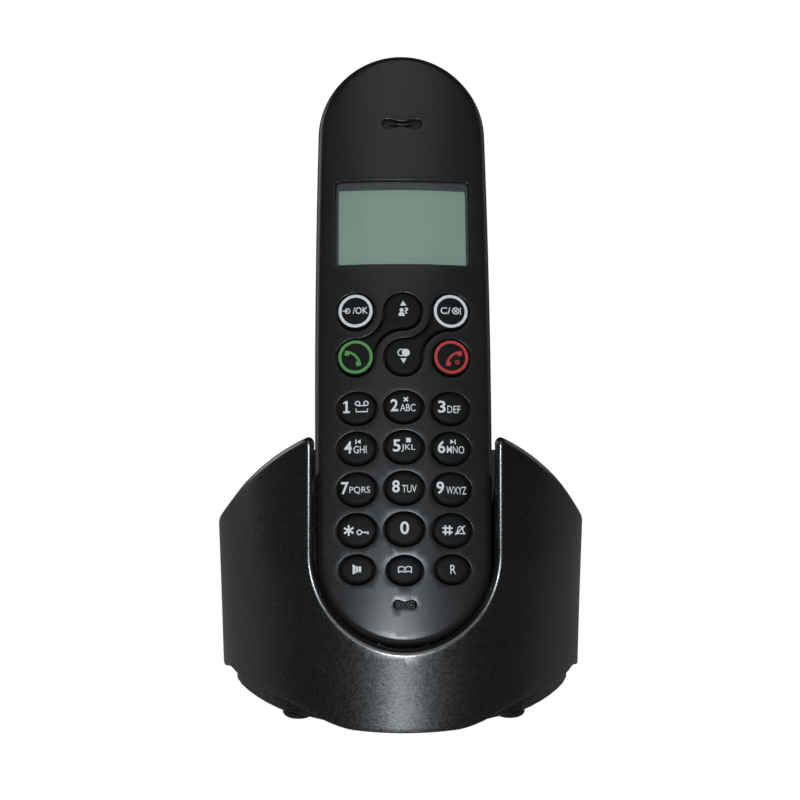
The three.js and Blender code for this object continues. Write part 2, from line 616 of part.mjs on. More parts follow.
const handset = new THREE.Group();
handset.applyMatrix4(handsetMatrix);
handset.add(
  piece('front_shell', frontShell(), casing()),
  piece('rear_shell', rearShell(), casing()),
  piece('battery_door', batteryDoor(), casing()),
  piece('display_lens', displayLens(), finish(0xa9b8b0, 0.08, 0, { transparent: true, opacity: 0.4 })),
  piece('display_module', displayModule(), finish(0x8fa59b, 0.4)),
  piece('handset_board', handsetBoard(), green()),
  piece('key_mat', keyMat(), rubber()),
  piece('earpiece', rod(0, EAR_CENTRE, EAR_RADIUS, -5, -SHELL_WALL - 2 * GAP, 6), steel()),
  piece('microphone', rod(0, MIC_CENTRE, MIC_RADIUS, -4, -SHELL_WALL - GAP, 5), steel()),
  piece('ringer', rod(0, RINGER_CENTRE, RINGER_RADIUS, -HANDSET_THICK + 3, -HANDSET_THICK + 7, 6), steel()),
  piece('battery_tray', batteryTray(), casing()),
  piece('contact_plate_lower', cellContact(-1), steel()),
  piece('contact_plate_upper', cellContact(1), steel()),
  ...SCREW_SIDES.flatMap(([label, side]) => [
    piece(`battery_${label}`, batteryCell(side), finish(0x3f7f54, 0.4)),
    piece(`charge_contact_${label}`, contactBox(side, 0), gold()),
    piece(`handset_screw_${label}`,
      screw(side * SCREW_PLACE[0], SCREW_PLACE[1], -HANDSET_THICK + 3.2, 14, 1), steel()),
    piece(`charge_pin_${label}`, chargePin(side), gold()),
  ]),
  ...roundKeys.map((key) => piece(key.name, keyCap(key), keyPlastic())),
  ...rockers.map((rocker) => piece(rocker.name, rockerCap(rocker), keyPlastic())),
);

const base = new THREE.Group();
base.add(
  piece('base_shell', baseShell(), casing()),
  piece('cradle_deck', cradleDeck(), casing()),
  piece('cradle_well', cradleWell(), casing()),
  piece('backrest', backrest(), casing()),
  piece('base_cover', baseCover(), casing()),
  piece('base_board', baseBoard(), green()),
  piece('page_key', pageKey(), keyPlastic()),
  piece('power_jack', socket(JACK_X, JACK_SIZE, roundMouth), rubber()),
  piece('line_socket', socket(LINE_X, LINE_SIZE, squareMouth), rubber()),
  ...FOOT_PLACES.map(([x, y], i) => piece(`foot_${i + 1}`,
    rod(x, y, FOOT_RADIUS, 0, COVER_BOTTOM - GAP, 6), rubber())),
  ...COVER_SCREWS.map(([x, y], i) => piece(`base_screw_${i + 1}`,
    screw(x, y, COVER_BOTTOM + 0.1, 5.5, 1), steel())),
);

// the origin is under the middle of the whole object's footprint
const phone = new THREE.Group();
phone.add(base, handset);
phone.updateMatrixWorld(true);
const extent = new THREE.Box3().setFromObject(phone, true);
phone.position.set(-(extent.min.x + extent.max.x) / 2, -(extent.min.y + extent.max.y) / 2, -extent.min.z);

export default phone;
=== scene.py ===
"""Cordless phone leaning in its charging base: the visible pieces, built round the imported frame.

Sizes are in millimetres in the dataclasses below. Meshes are made in metres.
"""

from __future__ import annotations

import json
import logging
import math
from dataclasses import dataclass, field
from enum import Enum
from typing import Callable, Iterable, Sequence

import bmesh
import bpy
import numpy as np
from mathutils import Matrix, Vector
from mathutils.geometry import delaunay_2d_cdt

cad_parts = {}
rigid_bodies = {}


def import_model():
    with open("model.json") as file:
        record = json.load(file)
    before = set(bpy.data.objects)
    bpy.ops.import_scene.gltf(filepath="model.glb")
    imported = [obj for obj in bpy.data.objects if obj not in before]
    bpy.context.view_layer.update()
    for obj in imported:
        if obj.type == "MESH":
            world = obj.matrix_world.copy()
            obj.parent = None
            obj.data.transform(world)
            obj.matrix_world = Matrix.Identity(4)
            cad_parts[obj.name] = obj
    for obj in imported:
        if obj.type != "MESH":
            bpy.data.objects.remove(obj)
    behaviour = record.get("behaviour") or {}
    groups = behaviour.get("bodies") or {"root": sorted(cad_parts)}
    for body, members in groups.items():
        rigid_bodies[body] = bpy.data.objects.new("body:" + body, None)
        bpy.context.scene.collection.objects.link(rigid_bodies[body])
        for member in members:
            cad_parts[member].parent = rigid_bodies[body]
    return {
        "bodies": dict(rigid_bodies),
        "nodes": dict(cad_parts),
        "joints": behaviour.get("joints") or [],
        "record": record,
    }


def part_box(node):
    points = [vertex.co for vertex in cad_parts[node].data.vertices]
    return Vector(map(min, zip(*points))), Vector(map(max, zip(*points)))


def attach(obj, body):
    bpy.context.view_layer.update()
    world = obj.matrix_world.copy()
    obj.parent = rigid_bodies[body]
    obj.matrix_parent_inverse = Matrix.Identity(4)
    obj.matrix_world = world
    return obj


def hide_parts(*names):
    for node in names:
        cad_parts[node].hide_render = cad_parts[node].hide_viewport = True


LOG = logging.getLogger("phone")
MM = 0.001
Array = np.ndarray
Lift = Callable[[Array], Array]


# ------------------------------------------------------------------ outlines
@dataclass
class Contour:
    """A closed outline in a plane, counter-clockwise, with its outward normals."""

    points: Array
    normals: Array

    def grown(self, distance: float) -> Array:
        """Returns the outline moved outwards by a distance."""
        return self.points + self.normals * distance


def arc(centre: Sequence[float], radius: float, start: float, end: float, steps: int,
        outward: bool = True) -> tuple[Array, Array]:
    """Samples an arc, its end left out.

    Args:
        centre: Middle of the arc.
        radius: Its radius.
        start: First angle, in degrees.
        end: Last angle, in degrees.
        steps: Number of points.
        outward: Whether the outline's outside is away from the centre.

    Returns:
        The points and their outward normals.
    """
    turn = np.radians(start + (end - start) * np.arange(steps) / steps)
    ray = np.stack([np.cos(turn), np.sin(turn)], axis=1)
    return np.asarray(centre) + ray * radius, ray if outward else -ray


def joined(parts: Iterable[tuple[Array, Array]]) -> Contour:
    """Joins sampled arcs into one contour."""
    pieces = list(parts)
    return Contour(np.concatenate([p for p, _ in pieces]), np.concatenate([n for _, n in pieces]))


def oval(x: float, y: float, half_x: float, half_y: float, steps: int = 56) -> Contour:
    """Returns an ellipse's outline."""
    turn = 2 * np.pi * np.arange(steps) / steps
    points = np.stack([x + half_x * np.cos(turn), y + half_y * np.sin(turn)], axis=1)
    normals = np.stack([half_y * np.cos(turn), half_x * np.sin(turn)], axis=1)
    return Contour(points, normals / np.linalg.norm(normals, axis=1, keepdims=True))


def rounded_box(x: float, y: float, width: float, height: float, radius: float, steps: int = 6,
                straight: int = 12) -> Contour:
    """Returns a rectangle's outline with round corners and points along its sides."""
    a, b = width / 2 - radius, height / 2 - radius
    corners = [(x + a, y + b), (x - a, y + b), (x - a, y - b), (x + a, y - b)]
    parts = []
    for i, corner in enumerate(corners):
        parts.append(arc(corner, radius, 90 * i, 90 * i + 90, steps))
        turn = math.radians(90 * i + 90)
        ray = np.array([math.cos(turn), math.sin(turn)])
        first = np.asarray(corner) + ray * radius
        last = np.asarray(corners[(i + 1) % 4]) + ray * radius
        share = (np.arange(straight) / straight)[:, None]
        parts.append((first + (last - first) * share, np.repeat(ray[None], straight, axis=0)))
    return joined(parts)


def inside(points: Array, polygon: Array) -> Array:
    """Says which points lie inside a polygon, by crossing count."""
    x, y = points[:, 0][:, None], points[:, 1][:, None]
    ax, ay = polygon[:, 0], polygon[:, 1]
    bx, by = np.roll(ax, -1), np.roll(ay, -1)
    crosses = (ay > y) != (by > y)
    rise = np.where(by == ay, 1e-12, by - ay)
    return (crosses & (x < (bx - ax) * (y - ay) / rise + ax)).sum(axis=1) % 2 == 1


def ease(share: Array) -> Array:
    """Returns a smooth step from 0 to 1."""
    held = np.clip(share, 0, 1)
    return held * held * (3 - 2 * held)


# ------------------------------------------------------------------ mesh making
class Sculpt:
    """Grows one closed mesh from rings of points, in millimetres."""

    def __init__(self) -> None:
        """Starts with nothing."""
        self.points: list[Array] = []
        self.faces: list[tuple[int, ...]] = []
        self.total = 0

    def ring(self, points: Array) -> list[int]:
        """Adds points and returns their indices."""
        first = self.total
        self.points.append(np.asarray(points, dtype=float))
        self.total += len(points)
        return list(range(first, self.total))

    def bridge(self, low: Sequence[int], high: Sequence[int], skip: Iterable[int] = ()) -> None:
        """Joins two rings of the same count, leaving out the sides that start at skipped places."""
        count = len(low)
        left_out = set(skip)
        for i in range(count):
            if i in left_out:
                continue
            j = (i + 1) % count
            self.faces.append((low[i], low[j], high[j], high[i]))

    def stack(self, rings: Sequence[Array]) -> tuple[list[int], list[int]]:
        """Bridges rings in order and returns the first and the last."""
        made = [self.ring(points) for points in rings]
        for low, high in zip(made, made[1:]):
            self.bridge(low, high)
        return made[0], made[-1]

    def cap(self, ring: Sequence[int], upward: bool = True) -> None:
        """Closes a roughly round ring with a fan."""
        where = np.concatenate(self.points)[list(ring)]
        middle = self.ring(where.mean(axis=0)[None])[0]
        count = len(ring)
        for i in range(count):
            a, b = ring[i], ring[(i + 1) % count]
            self.faces.append((a, b, middle) if upward else (b, a, middle))

    def patch(self, rings: Sequence[tuple[Sequence[int], Array]], lift: Lift, spacing: float,
              upward: bool = True) -> None:
        """Fills the region inside the first ring and outside the others.

        Args:
            rings: Indices of each ring's points, with their flat positions.
            lift: Turns flat positions into points of the surface.
            spacing: Distance between the points added inside.
            upward: Whether faces keep the flat plane's counter-clockwise order.
        """
        flat = np.concatenate([where for _, where in rings])
        names = [index for ids, _ in rings for index in ids]
        edges, start = [], 0
        for ids, _ in rings:
            count = len(ids)
            edges += [(start + i, start + (i + 1) % count) for i in range(count)]
            start += count
        low, high = flat.min(axis=0), flat.max(axis=0)
        columns = np.arange(low[0] + spacing / 2, high[0], spacing)
        rows = np.arange(low[1] + spacing / 2, high[1], spacing)
        grid = np.stack(np.meshgrid(columns, rows), axis=-1)
        grid[::2, :, 0] += spacing / 2
        extra = grid.reshape(-1, 2)
        keep = inside(extra, rings[0][1])
        for _, hole in rings[1:]:
            keep &= ~inside(extra, hole)
        extra = extra[keep]
        near = np.full(len(extra), 1e9)
        for block in np.array_split(flat, max(1, len(flat) // 200)):
            gap = np.linalg.norm(extra[:, None] - block[None], axis=2).min(axis=1)
            near = np.minimum(near, gap)
        extra = extra[near > spacing * 0.45]
        if len(extra):
            names += self.ring(lift(extra))
            flat = np.concatenate([flat, extra])
        points, _, triangles, origin, _, _ = delaunay_2d_cdt(
            [Vector(p) for p in flat.tolist()], edges, [], 0, 1e-7)
        where = np.array([list(p) for p in points])
        corners = np.array(triangles)
        middles = where[corners].mean(axis=1)
        keep = inside(middles, rings[0][1])
        for _, hole in rings[1:]:
            keep &= ~inside(middles, hole)
        for a, b, c in corners[keep]:
            trio = tuple(names[origin[k][0]] for k in (a, b, c))
            self.faces.append(trio if upward else trio[::-1])

    def finish(self, name: str, place: Matrix | None = None) -> bpy.types.Object:
        """Makes the object, welded, smooth and in its place.

        Args:
            name: Name of the piece.
            place: Where its local millimetres stand in the row's frame.

        Returns:
            The new object, linked to the scene.
        """
        points = np.concatenate(self.points)
        if place is not None:
            turn = np.array(place)
            points = points @ turn[:3, :3].T + turn[:3, 3]
        mesh = bpy.data.meshes.new(name)
        mesh.from_pydata((points * MM).tolist(), [], [list(map(int, f)) for f in self.faces])
        return shaded(link(name, mesh))


def link(name: str, mesh: bpy.types.Mesh) -> bpy.types.Object:
    """Makes an object of a mesh and links it to the scene."""
    thing = bpy.data.objects.new(name, mesh)
    bpy.context.scene.collection.objects.link(thing)
    return thing


def shaded(thing: bpy.types.Object, crease: float = 38.0) -> bpy.types.Object:
    """Welds a mesh and shades it smooth, with creases past an angle in degrees."""
    mesh = thing.data
    work = bmesh.new()
    work.from_mesh(mesh)
    bmesh.ops.remove_doubles(work, verts=work.verts, dist=2e-6)
    bmesh.ops.dissolve_degenerate(work, edges=work.edges, dist=1e-7)
    work.to_mesh(mesh)
    work.free()
    mesh.shade_smooth()
    mesh.set_sharp_from_angle(angle=math.radians(crease))
    return thing


def fillet(radius: float, steps: int = 5) -> list[tuple[float, float]]:
    """Samples a quarter round as (distance from the edge, depth), from the face to the wall."""
    turns = [math.pi / 2 * i / steps for i in range(steps + 1)]
    return [(radius * (1 - math.sin(t)), radius * (1 - math.cos(t))) for t in turns]


def boolean(thing: bpy.types.Object, tools: Sequence[bpy.types.Object], operation: str) -> None:
    """Applies boolean modifiers to a piece and deletes the tools."""
    for tool in tools:
        step = thing.modifiers.new("cut", "BOOLEAN")
        step.operation = operation
        step.solver = "EXACT"
        step.object = tool
    graph = bpy.context.evaluated_depsgraph_get()
    result = bpy.data.meshes.new_from_object(thing.evaluated_get(graph))
    thing.modifiers.clear()
    thing.data = result
    for tool in tools:
        bpy.data.objects.remove(tool)


def block(low: Sequence[float], high: Sequence[float], place: Matrix | None = None) -> bpy.types.Object:
    """Makes a plain box, used as a cutting tool."""
    shape = Sculpt()
    corners = [(low[0], low[1]), (high[0], low[1]), (high[0], high[1]), (low[0], high[1])]
    rings = [np.array([(x, y, z) for x, y in corners]) for z in (low[2], high[2])]
    first, last = shape.stack(rings)
    shape.faces += [tuple(reversed(first)), tuple(last)]
    return shape.finish("tool", place)


def round_tool(x: float, y: float, radius: float, low: float, high: float,
               place: Matrix | None = None, steps: int = 40) -> bpy.types.Object:
    """Makes a plain cylinder along z, used as a cutting tool."""
    shape = Sculpt()
    flat = oval(x, y, radius, radius, steps).points
    first, last = shape.stack([np.column_stack([flat, np.full(steps, z)]) for z in (low, high)])
    shape.faces += [tuple(reversed(first)), tuple(last)]
    return shape.finish("tool", place)


def at_height(flat: Array, height: float) -> Array:
    """Stands flat positions at one height."""
    return np.column_stack([flat, np.full(len(flat), height)])


def lathe(profile: Sequence[tuple[float, float]], steps: int = 36) -> Sculpt:
    """Turns a profile of (radius, height) pairs about z, from its lower middle outwards and up."""
    shape = Sculpt()
    first, last = shape.stack([at_height(oval(0, 0, radius, radius, steps).points, height)
                               for radius, height in profile])
    shape.faces += [tuple(reversed(first)), tuple(last)]
    return shape


# ------------------------------------------------------------------ shader groups
class Socket(Enum):
    """Kinds of group socket used here."""

    NUMBER = "NodeSocketFloat"


def group_tree(name: str, inputs: dict[str, tuple[Socket, float | None]],
               outputs: dict[str, Socket]) -> bpy.types.NodeTree:
    """Makes an empty shader group with named sockets."""
    tree = bpy.data.node_groups.new(name, "ShaderNodeTree")
    for label, (kind, value) in inputs.items():
        made = tree.interface.new_socket(name=label, in_out="INPUT", socket_type=kind.value)
        if value is not None:
            made.default_value = value
    for label, kind in outputs.items():
        tree.interface.new_socket(name=label, in_out="OUTPUT", socket_type=kind.value)
    return tree


def moulded_grain() -> bpy.types.NodeTree:
    """Builds the fine texture of moulded plastic: grain height, sparkle and cloudiness."""
    tree = group_tree("moulded_grain", {
        "Grain per metre": (Socket.NUMBER, 3500.0),
        "Cloud per metre": (Socket.NUMBER, 60.0),
        "Sparkle": (Socket.NUMBER, 0.3),
    }, {"Height": Socket.NUMBER, "Fleck": Socket.NUMBER, "Cloud": Socket.NUMBER})
    nodes, links = tree.nodes, tree.links
    enter = nodes.new("NodeGroupInput")
    leave = nodes.new("NodeGroupOutput")
    where = nodes.new("ShaderNodeTexCoord")
    grain = nodes.new("ShaderNodeTexNoise")
    grain.inputs["Detail"].default_value = 2.0
    grain.inputs["Roughness"].default_value = 0.6
    cells = nodes.new("ShaderNodeTexVoronoi")
    cloud = nodes.new("ShaderNodeTexNoise")
    cloud.inputs["Detail"].default_value = 3.0
    fleck = nodes.new("ShaderNodeMath")
    fleck.operation = "MULTIPLY"
    for texture, label in (
            (grain, "Grain per metre"),
            (cells, "Grain per metre"),
            (cloud, "Cloud per metre"),
    ):
        links.new(where.outputs["Object"], texture.inputs["Vector"])
        links.new(enter.outputs[label], texture.inputs["Scale"])
    apart = nodes.new("ShaderNodeSeparateColor")
    links.new(cells.outputs["Color"], apart.inputs["Color"])
    links.new(apart.outputs["Red"], fleck.inputs[0])
    links.new(enter.outputs["Sparkle"], fleck.inputs[1])
    links.new(grain.outputs["Fac"], leave.inputs["Height"])
    links.new(fleck.outputs["Value"], leave.inputs["Fleck"])
    links.new(cloud.outputs["Fac"], leave.inputs["Cloud"])
    return tree


class Palette:
    """Builds each finish once and hands out its material."""

    def __init__(self) -> None:
        """Builds the shared groups."""
        self.grain = moulded_grain()
        self.repeats = repeated_pieces()
        self.made: dict[str, bpy.types.Material] = {}

    def get(self, finish: "Finish") -> bpy.types.Material:
        """Returns a finish's material, building it the first time."""
        if finish.name not in self.made:
            self.made[finish.name] = finish.build(self)
        return self.made[finish.name]


@dataclass(frozen=True)
class Finish:
    """A plastic, rubber or metal surface with moulded grain.

    Colours are linear red, green and blue. Distances are in metres.
    """

    name: str
    colour: tuple[float, float, float]
    roughness: float
    metallic: float = 0.0
    specular: float = 0.5
    ior: float = 1.5
    grain: float = 3500.0
    bump: float = 0.00001
    variation: float = 0.15
    sparkle: float = 0.0
    cloudiness: float = 0.04

    def build(self, palette: Palette) -> bpy.types.Material:
        """Builds the material.

        Args:
            palette: Holder of the shared groups.

        Returns:
            The new material.
        """
        material = bpy.data.materials.new(self.name)
        material.use_nodes = True
        nodes, links = material.node_tree.nodes, material.node_tree.links
        shader = nodes["Principled BSDF"]
        shader.inputs["Metallic"].default_value = self.metallic
        shader.inputs["Specular IOR Level"].default_value = self.specular
        shader.inputs["IOR"].default_value = self.ior
        grain = nodes.new("ShaderNodeGroup")
        grain.node_tree = palette.grain
        grain.inputs["Grain per metre"].default_value = self.grain
        grain.inputs["Sparkle"].default_value = self.sparkle
        tone = nodes.new("ShaderNodeMix")
        tone.data_type = "RGBA"
        dark = [c * (1 - self.variation) for c in self.colour]
        light = [c * (1 + self.variation) for c in self.colour]
        tone.inputs["A"].default_value = (*dark, 1)
        tone.inputs["B"].default_value = (*light, 1)
        links.new(grain.outputs["Cloud"], tone.inputs["Factor"])
        links.new(tone.outputs["Result"], shader.inputs["Base Color"])
        rough = nodes.new("ShaderNodeMapRange")
        rough.inputs["To Min"].default_value = max(self.roughness - self.cloudiness, 0.02)
        rough.inputs["To Max"].default_value = self.roughness + self.cloudiness
        links.new(grain.outputs["Cloud"], rough.inputs["Value"])
        calmer = nodes.new("ShaderNodeMath")
        calmer.operation = "SUBTRACT"
        links.new(rough.outputs["Result"], calmer.inputs[0])
        links.new(grain.outputs["Fleck"], calmer.inputs[1])
        links.new(calmer.outputs["Value"], shader.inputs["Roughness"])
        bump = nodes.new("ShaderNodeBump")
        bump.inputs["Strength"].default_value = 1.0
        bump.inputs["Distance"].default_value = self.bump
        links.new(grain.outputs["Height"], bump.inputs["Height"])
        links.new(bump.outputs["Normal"], shader.inputs["Normal"])
        return material


@dataclass(frozen=True)
class ClearFinish:
    """Clear glossy plastic of a display lens."""

    name: str
    tint: tuple[float, float, float]

    def build(self, palette: Palette) -> bpy.types.Material:
        """Builds the material; the clear plastic is thin, so light passes straight through."""
        material = bpy.data.materials.new(self.name)
        material.use_nodes = True
        nodes, links = material.node_tree.nodes, material.node_tree.links
        shader = nodes["Principled BSDF"]
        shader.inputs["Base Color"].default_value = (*self.tint, 1)
        shader.inputs["Roughness"].default_value = 0.04
        shader.inputs["IOR"].default_value = 1.46
        shader.inputs["Transmission Weight"].default_value = 0.0
        shader.inputs["Alpha"].default_value = 0.12
        smear = nodes.new("ShaderNodeTexNoise")
        smear.inputs["Scale"].default_value = 90.0
        where = nodes.new("ShaderNodeTexCoord")
        spread = nodes.new("ShaderNodeMapRange")
        spread.inputs["To Min"].default_value = 0.03
        spread.inputs["To Max"].default_value = 0.07
        links.new(where.outputs["Object"], smear.inputs["Vector"])
        links.new(smear.outputs["Fac"], spread.inputs["Value"])
        links.new(spread.outputs["Result"], shader.inputs["Roughness"])
        return material


HANDSET_BLACK = Finish("handset_black", (0.0125, 0.0128, 0.0138), 0.315, specular=0.36, sparkle=0.06,
                       bump=0.000012)
BASE_BLACK = Finish("base_black", (0.0022, 0.0023, 0.0027), 0.335, specular=1.0, ior=1.62, sparkle=0.10,
                    bump=0.000014, grain=2600.0)
CRADLE_BLACK = Finish("cradle_black", (0.009, 0.0092, 0.01), 0.5, bump=0.00002)
KEY_BLACK = Finish("key_black", (0.0036, 0.0037, 0.0044), 0.6, specular=0.18, bump=0.000006)
MAT_BLACK = Finish("mat_black", (0.006, 0.006, 0.006), 0.75)
RECESS_BLACK = Finish("recess_black", (0.004, 0.004, 0.004), 0.6)
FOOT_BLACK = Finish("foot_black", (0.008, 0.008, 0.008), 0.85, bump=0.00004)
PRINT_WHITE = Finish("print_white", (0.80, 0.81, 0.80), 0.6, bump=0.000004, variation=0.03)
PRINT_GREEN = Finish("print_green", (0.085, 0.34, 0.065), 0.6, bump=0.000004, variation=0.05)
PRINT_RED = Finish("print_red", (0.58, 0.035, 0.032), 0.6, bump=0.000004, variation=0.05)
PANEL = Finish("panel_grey_green", (0.378, 0.548, 0.410), 0.5, bump=0.000003, variation=0.06)
LENS = ClearFinish("lens_clear", (0.26, 0.29, 0.30))
BOARD_GREEN = Finish("board_green", (0.02, 0.10, 0.045), 0.45, variation=0.3, bump=0.00003)
GOLD = Finish("contact_gold", (0.80, 0.56, 0.24), 0.28, metallic=1.0, bump=0.000006)
STEEL = Finish("screw_steel", (0.58, 0.58, 0.6), 0.34, metallic=1.0, bump=0.000008)
CELL_SLEEVE = Finish("cell_sleeve", (0.05, 0.22, 0.10), 0.35, variation=0.1)


class Print(Enum):
    """Colours that symbols are printed in."""

    WHITE = PRINT_WHITE
    GREEN = PRINT_GREEN
    RED = PRINT_RED


# ------------------------------------------------------------------ places
@dataclass
class Places:
    """Where the handset's face and the base's middle stand, read from the frame."""

    face: Matrix
    base: Matrix

    @classmethod
    def read(cls, frame: dict, handset: "Handset", base: "Base") -> "Places":
        """Works out both places from joint axes and node boxes.

        Args:
            handset: Sizes of the handset.
            base: Sizes of the base.

        Returns:
            The two places, as matrices in millimetres.
        """
        lift = next(j for j in frame["record"]["behaviour"]["joints"] if j["name"] == "handset_lift")
        along = Vector(lift["axis"]).normalized()
        across = Vector((1, 0, 0))
        out = across.cross(along)
        low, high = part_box("display_lens")
        middle = (Vector(low) + Vector(high)) / 2 / MM
        origin = middle - along * handset.lens_centre + out * (handset.lens_thick / 2)
        face = Matrix.Identity(4)
        for row in range(3):
            face[row][0], face[row][1], face[row][2] = across[row], along[row], out[row]
            face[row][3] = origin[row]
        low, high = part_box("base_shell")
        edge = base.skin(np.array([[0.0, base.skirt]]), 0)[0, 1]
        middle = Matrix.Translation(((low[0] + high[0]) / 2 / MM, low[1] / MM - edge, 0))
        return cls(face, middle)


# ------------------------------------------------------------------ printed symbols
class Symbols:
    """Draws printed symbols as thin slabs on a key's top."""

    thick = 0.05

    def __init__(self, name: str, top: Lift) -> None:
        """Starts a symbol set.

        Args:
            name: Name of the piece.
            top: Gives the height of the surface at flat positions.
        """
        self.name = name
        self.top = top
        self.sculpt = Sculpt()

    def slab(self, outline: Array, holes: Sequence[Array] = ()) -> None:
        """Adds a slab with an outline, counter-clockwise, and holes in it."""
        loops = [np.asarray(outline, dtype=float)] + [np.asarray(h, dtype=float) for h in holes]
        for upper in (True, False):
            rise = self.thick if upper else -self.thick
            rings = [(self.sculpt.ring(self._lifted(loop, rise)), loop) for loop in loops]
            self.sculpt.patch(rings, lambda flat, rise=rise: self._lifted(flat, rise), 0.9, upper)
            if upper:
                tops = [ids for ids, _ in rings]
            else:
                lows = [ids for ids, _ in rings]
        self.sculpt.bridge(lows[0], tops[0])
        for low, high in zip(lows[1:], tops[1:]):
            self.sculpt.bridge(high, low)

    def bar(self, x: float, y: float, half_x: float, half_y: float) -> None:
        """Draws a filled rectangle."""
        self.slab([(x - half_x, y - half_y), (x + half_x, y - half_y),
                   (x + half_x, y + half_y), (x - half_x, y + half_y)])

    def _lifted(self, flat: Array, rise: float) -> Array:
        """Puts flat positions on the surface, raised."""
        return np.column_stack([flat, self.top(flat) + rise])

    def ring(self, x: float, y: float, radius: float, width: float, steps: int = 48) -> None:
        """Draws a circle line."""
        outer = oval(x, y, radius, radius, steps).points
        inner = oval(x, y, radius - width, radius - width, steps).points
        self.slab(outer, [inner])

    def disc(self, x: float, y: float, radius: float, steps: int = 24) -> None:
        """Draws a filled circle."""
        self.slab(oval(x, y, radius, radius, steps).points)

    def stroke(self, points: Sequence[Sequence[float]], width: float) -> None:
        """Draws a line of one width along points."""
        path = np.asarray(points, dtype=float)
        ahead = np.gradient(path, axis=0)
        ahead /= np.linalg.norm(ahead, axis=1, keepdims=True)
        side = np.column_stack([-ahead[:, 1], ahead[:, 0]]) * width / 2
        self.slab(np.concatenate([path - side, (path + side)[::-1]]))

    def words(self, text: str, x: float, baseline: float, height: float, width: float | None = None,
              weight: float = 0.0) -> None:
        """Draws plain generic lettering.

        Args:
            text: The characters.
            x: Their middle.
            baseline: Their foot.
            height: Height of the characters.
            width: Full width, or None to keep the font's shape.
            weight: How much bolder than the font, as a share of its size.
        """
        curve = bpy.data.curves.new("lettering", "FONT")
        curve.body = text
        curve.offset = weight
        curve.resolution_u = 4
        helper = bpy.data.objects.new("lettering", curve)
        bpy.context.scene.collection.objects.link(helper)
        graph = bpy.context.evaluated_depsgraph_get()
        flat = bpy.data.meshes.new_from_object(helper.evaluated_get(graph))
        work = bmesh.new()
        work.from_mesh(flat)
        bmesh.ops.remove_doubles(work, verts=work.verts, dist=1e-5)
        work.verts.ensure_lookup_table()
        where = np.array([v.co[:2] for v in work.verts])
        low, high = where.min(axis=0), where.max(axis=0)
        scale_y = height / (high[1] - low[1])
        scale_x = scale_y if width is None else width / (high[0] - low[0])
        middle = (low[0] + high[0]) / 2
        placed = np.column_stack([
            (where[:, 0] - middle) * scale_x + x,
            (where[:, 1] - low[1]) * scale_y + baseline,
        ])
        top = self.sculpt.ring(self._lifted(placed, self.thick))
        base = self.sculpt.ring(self._lifted(placed, -self.thick))
        for face in work.faces:
            ids = [v.index for v in face.verts]
            if face.normal.z < 0:
                ids = ids[::-1]
            self.sculpt.faces.append(tuple(top[i] for i in ids))
            self.sculpt.faces.append(tuple(base[i] for i in reversed(ids)))
            for i, j in zip(ids, ids[1:] + ids[:1]):
                edge = work.edges.get((work.verts[i], work.verts[j]))
                if edge is not None and len(edge.link_faces) == 1:
                    self.sculpt.faces.append((base[i], base[j], top[j], top[i]))
        work.free()
        bpy.data.objects.remove(helper)
        bpy.data.curves.remove(curve)

    def finish(self, place: Matrix, colour: Print, palette: Palette, body: str) -> bpy.types.Object:
        """Makes the piece, dresses it and lets it ride."""
        thing = self.sculpt.finish(self.name, place)
        dress(thing, palette.get(colour.value), body)
        return thing


# ------------------------------------------------------------------ repeated pieces
def repeated_pieces() -> bpy.types.NodeTree:
    """Builds the geometry group that sets one piece on every point, each with a turn of its own.

    Returns:
        The group, with inputs Geometry, Piece, Material, Spread of turn and Seed.
    """
    tree = bpy.data.node_groups.new("repeated_pieces", "GeometryNodeTree")
    for label, kind in (("Geometry", "Geometry"), ("Piece", "Object"), ("Material", "Material"),
                        ("Spread of turn", "Float"), ("Seed", "Int")):
        tree.interface.new_socket(name=label, in_out="INPUT", socket_type=f"NodeSocket{kind}")
    tree.interface.new_socket(name="Geometry", in_out="OUTPUT", socket_type="NodeSocketGeometry")
    nodes, links = tree.nodes, tree.links
    enter, leave = nodes.new("NodeGroupInput"), nodes.new("NodeGroupOutput")
    piece = nodes.new("GeometryNodeObjectInfo")
    chance = nodes.new("FunctionNodeRandomValue")
    chance.data_type = "FLOAT"
    turn = nodes.new("ShaderNodeCombineXYZ")
    place = nodes.new("GeometryNodeInstanceOnPoints")
    real = nodes.new("GeometryNodeRealizeInstances")
    paint = nodes.new("GeometryNodeSetMaterial")
    links.new(enter.outputs["Piece"], piece.inputs["Object"])
    links.new(enter.outputs["Spread of turn"], [s for s in chance.inputs if s.enabled and s.name == "Max"][0])
    links.new(enter.outputs["Seed"], chance.inputs["Seed"])
    links.new([s for s in chance.outputs if s.enabled][0], turn.inputs["Z"])
    links.new(enter.outputs["Geometry"], place.inputs["Points"])
    links.new(piece.outputs["Geometry"], place.inputs["Instance"])
    links.new(turn.outputs["Vector"], place.inputs["Rotation"])
    links.new(place.outputs["Instances"], real.inputs["Geometry"])
    links.new(real.outputs["Geometry"], paint.inputs["Geometry"])
    links.new(enter.outputs["Material"], paint.inputs["Material"])
    links.new(paint.outputs["Geometry"], leave.inputs["Geometry"])
    return tree


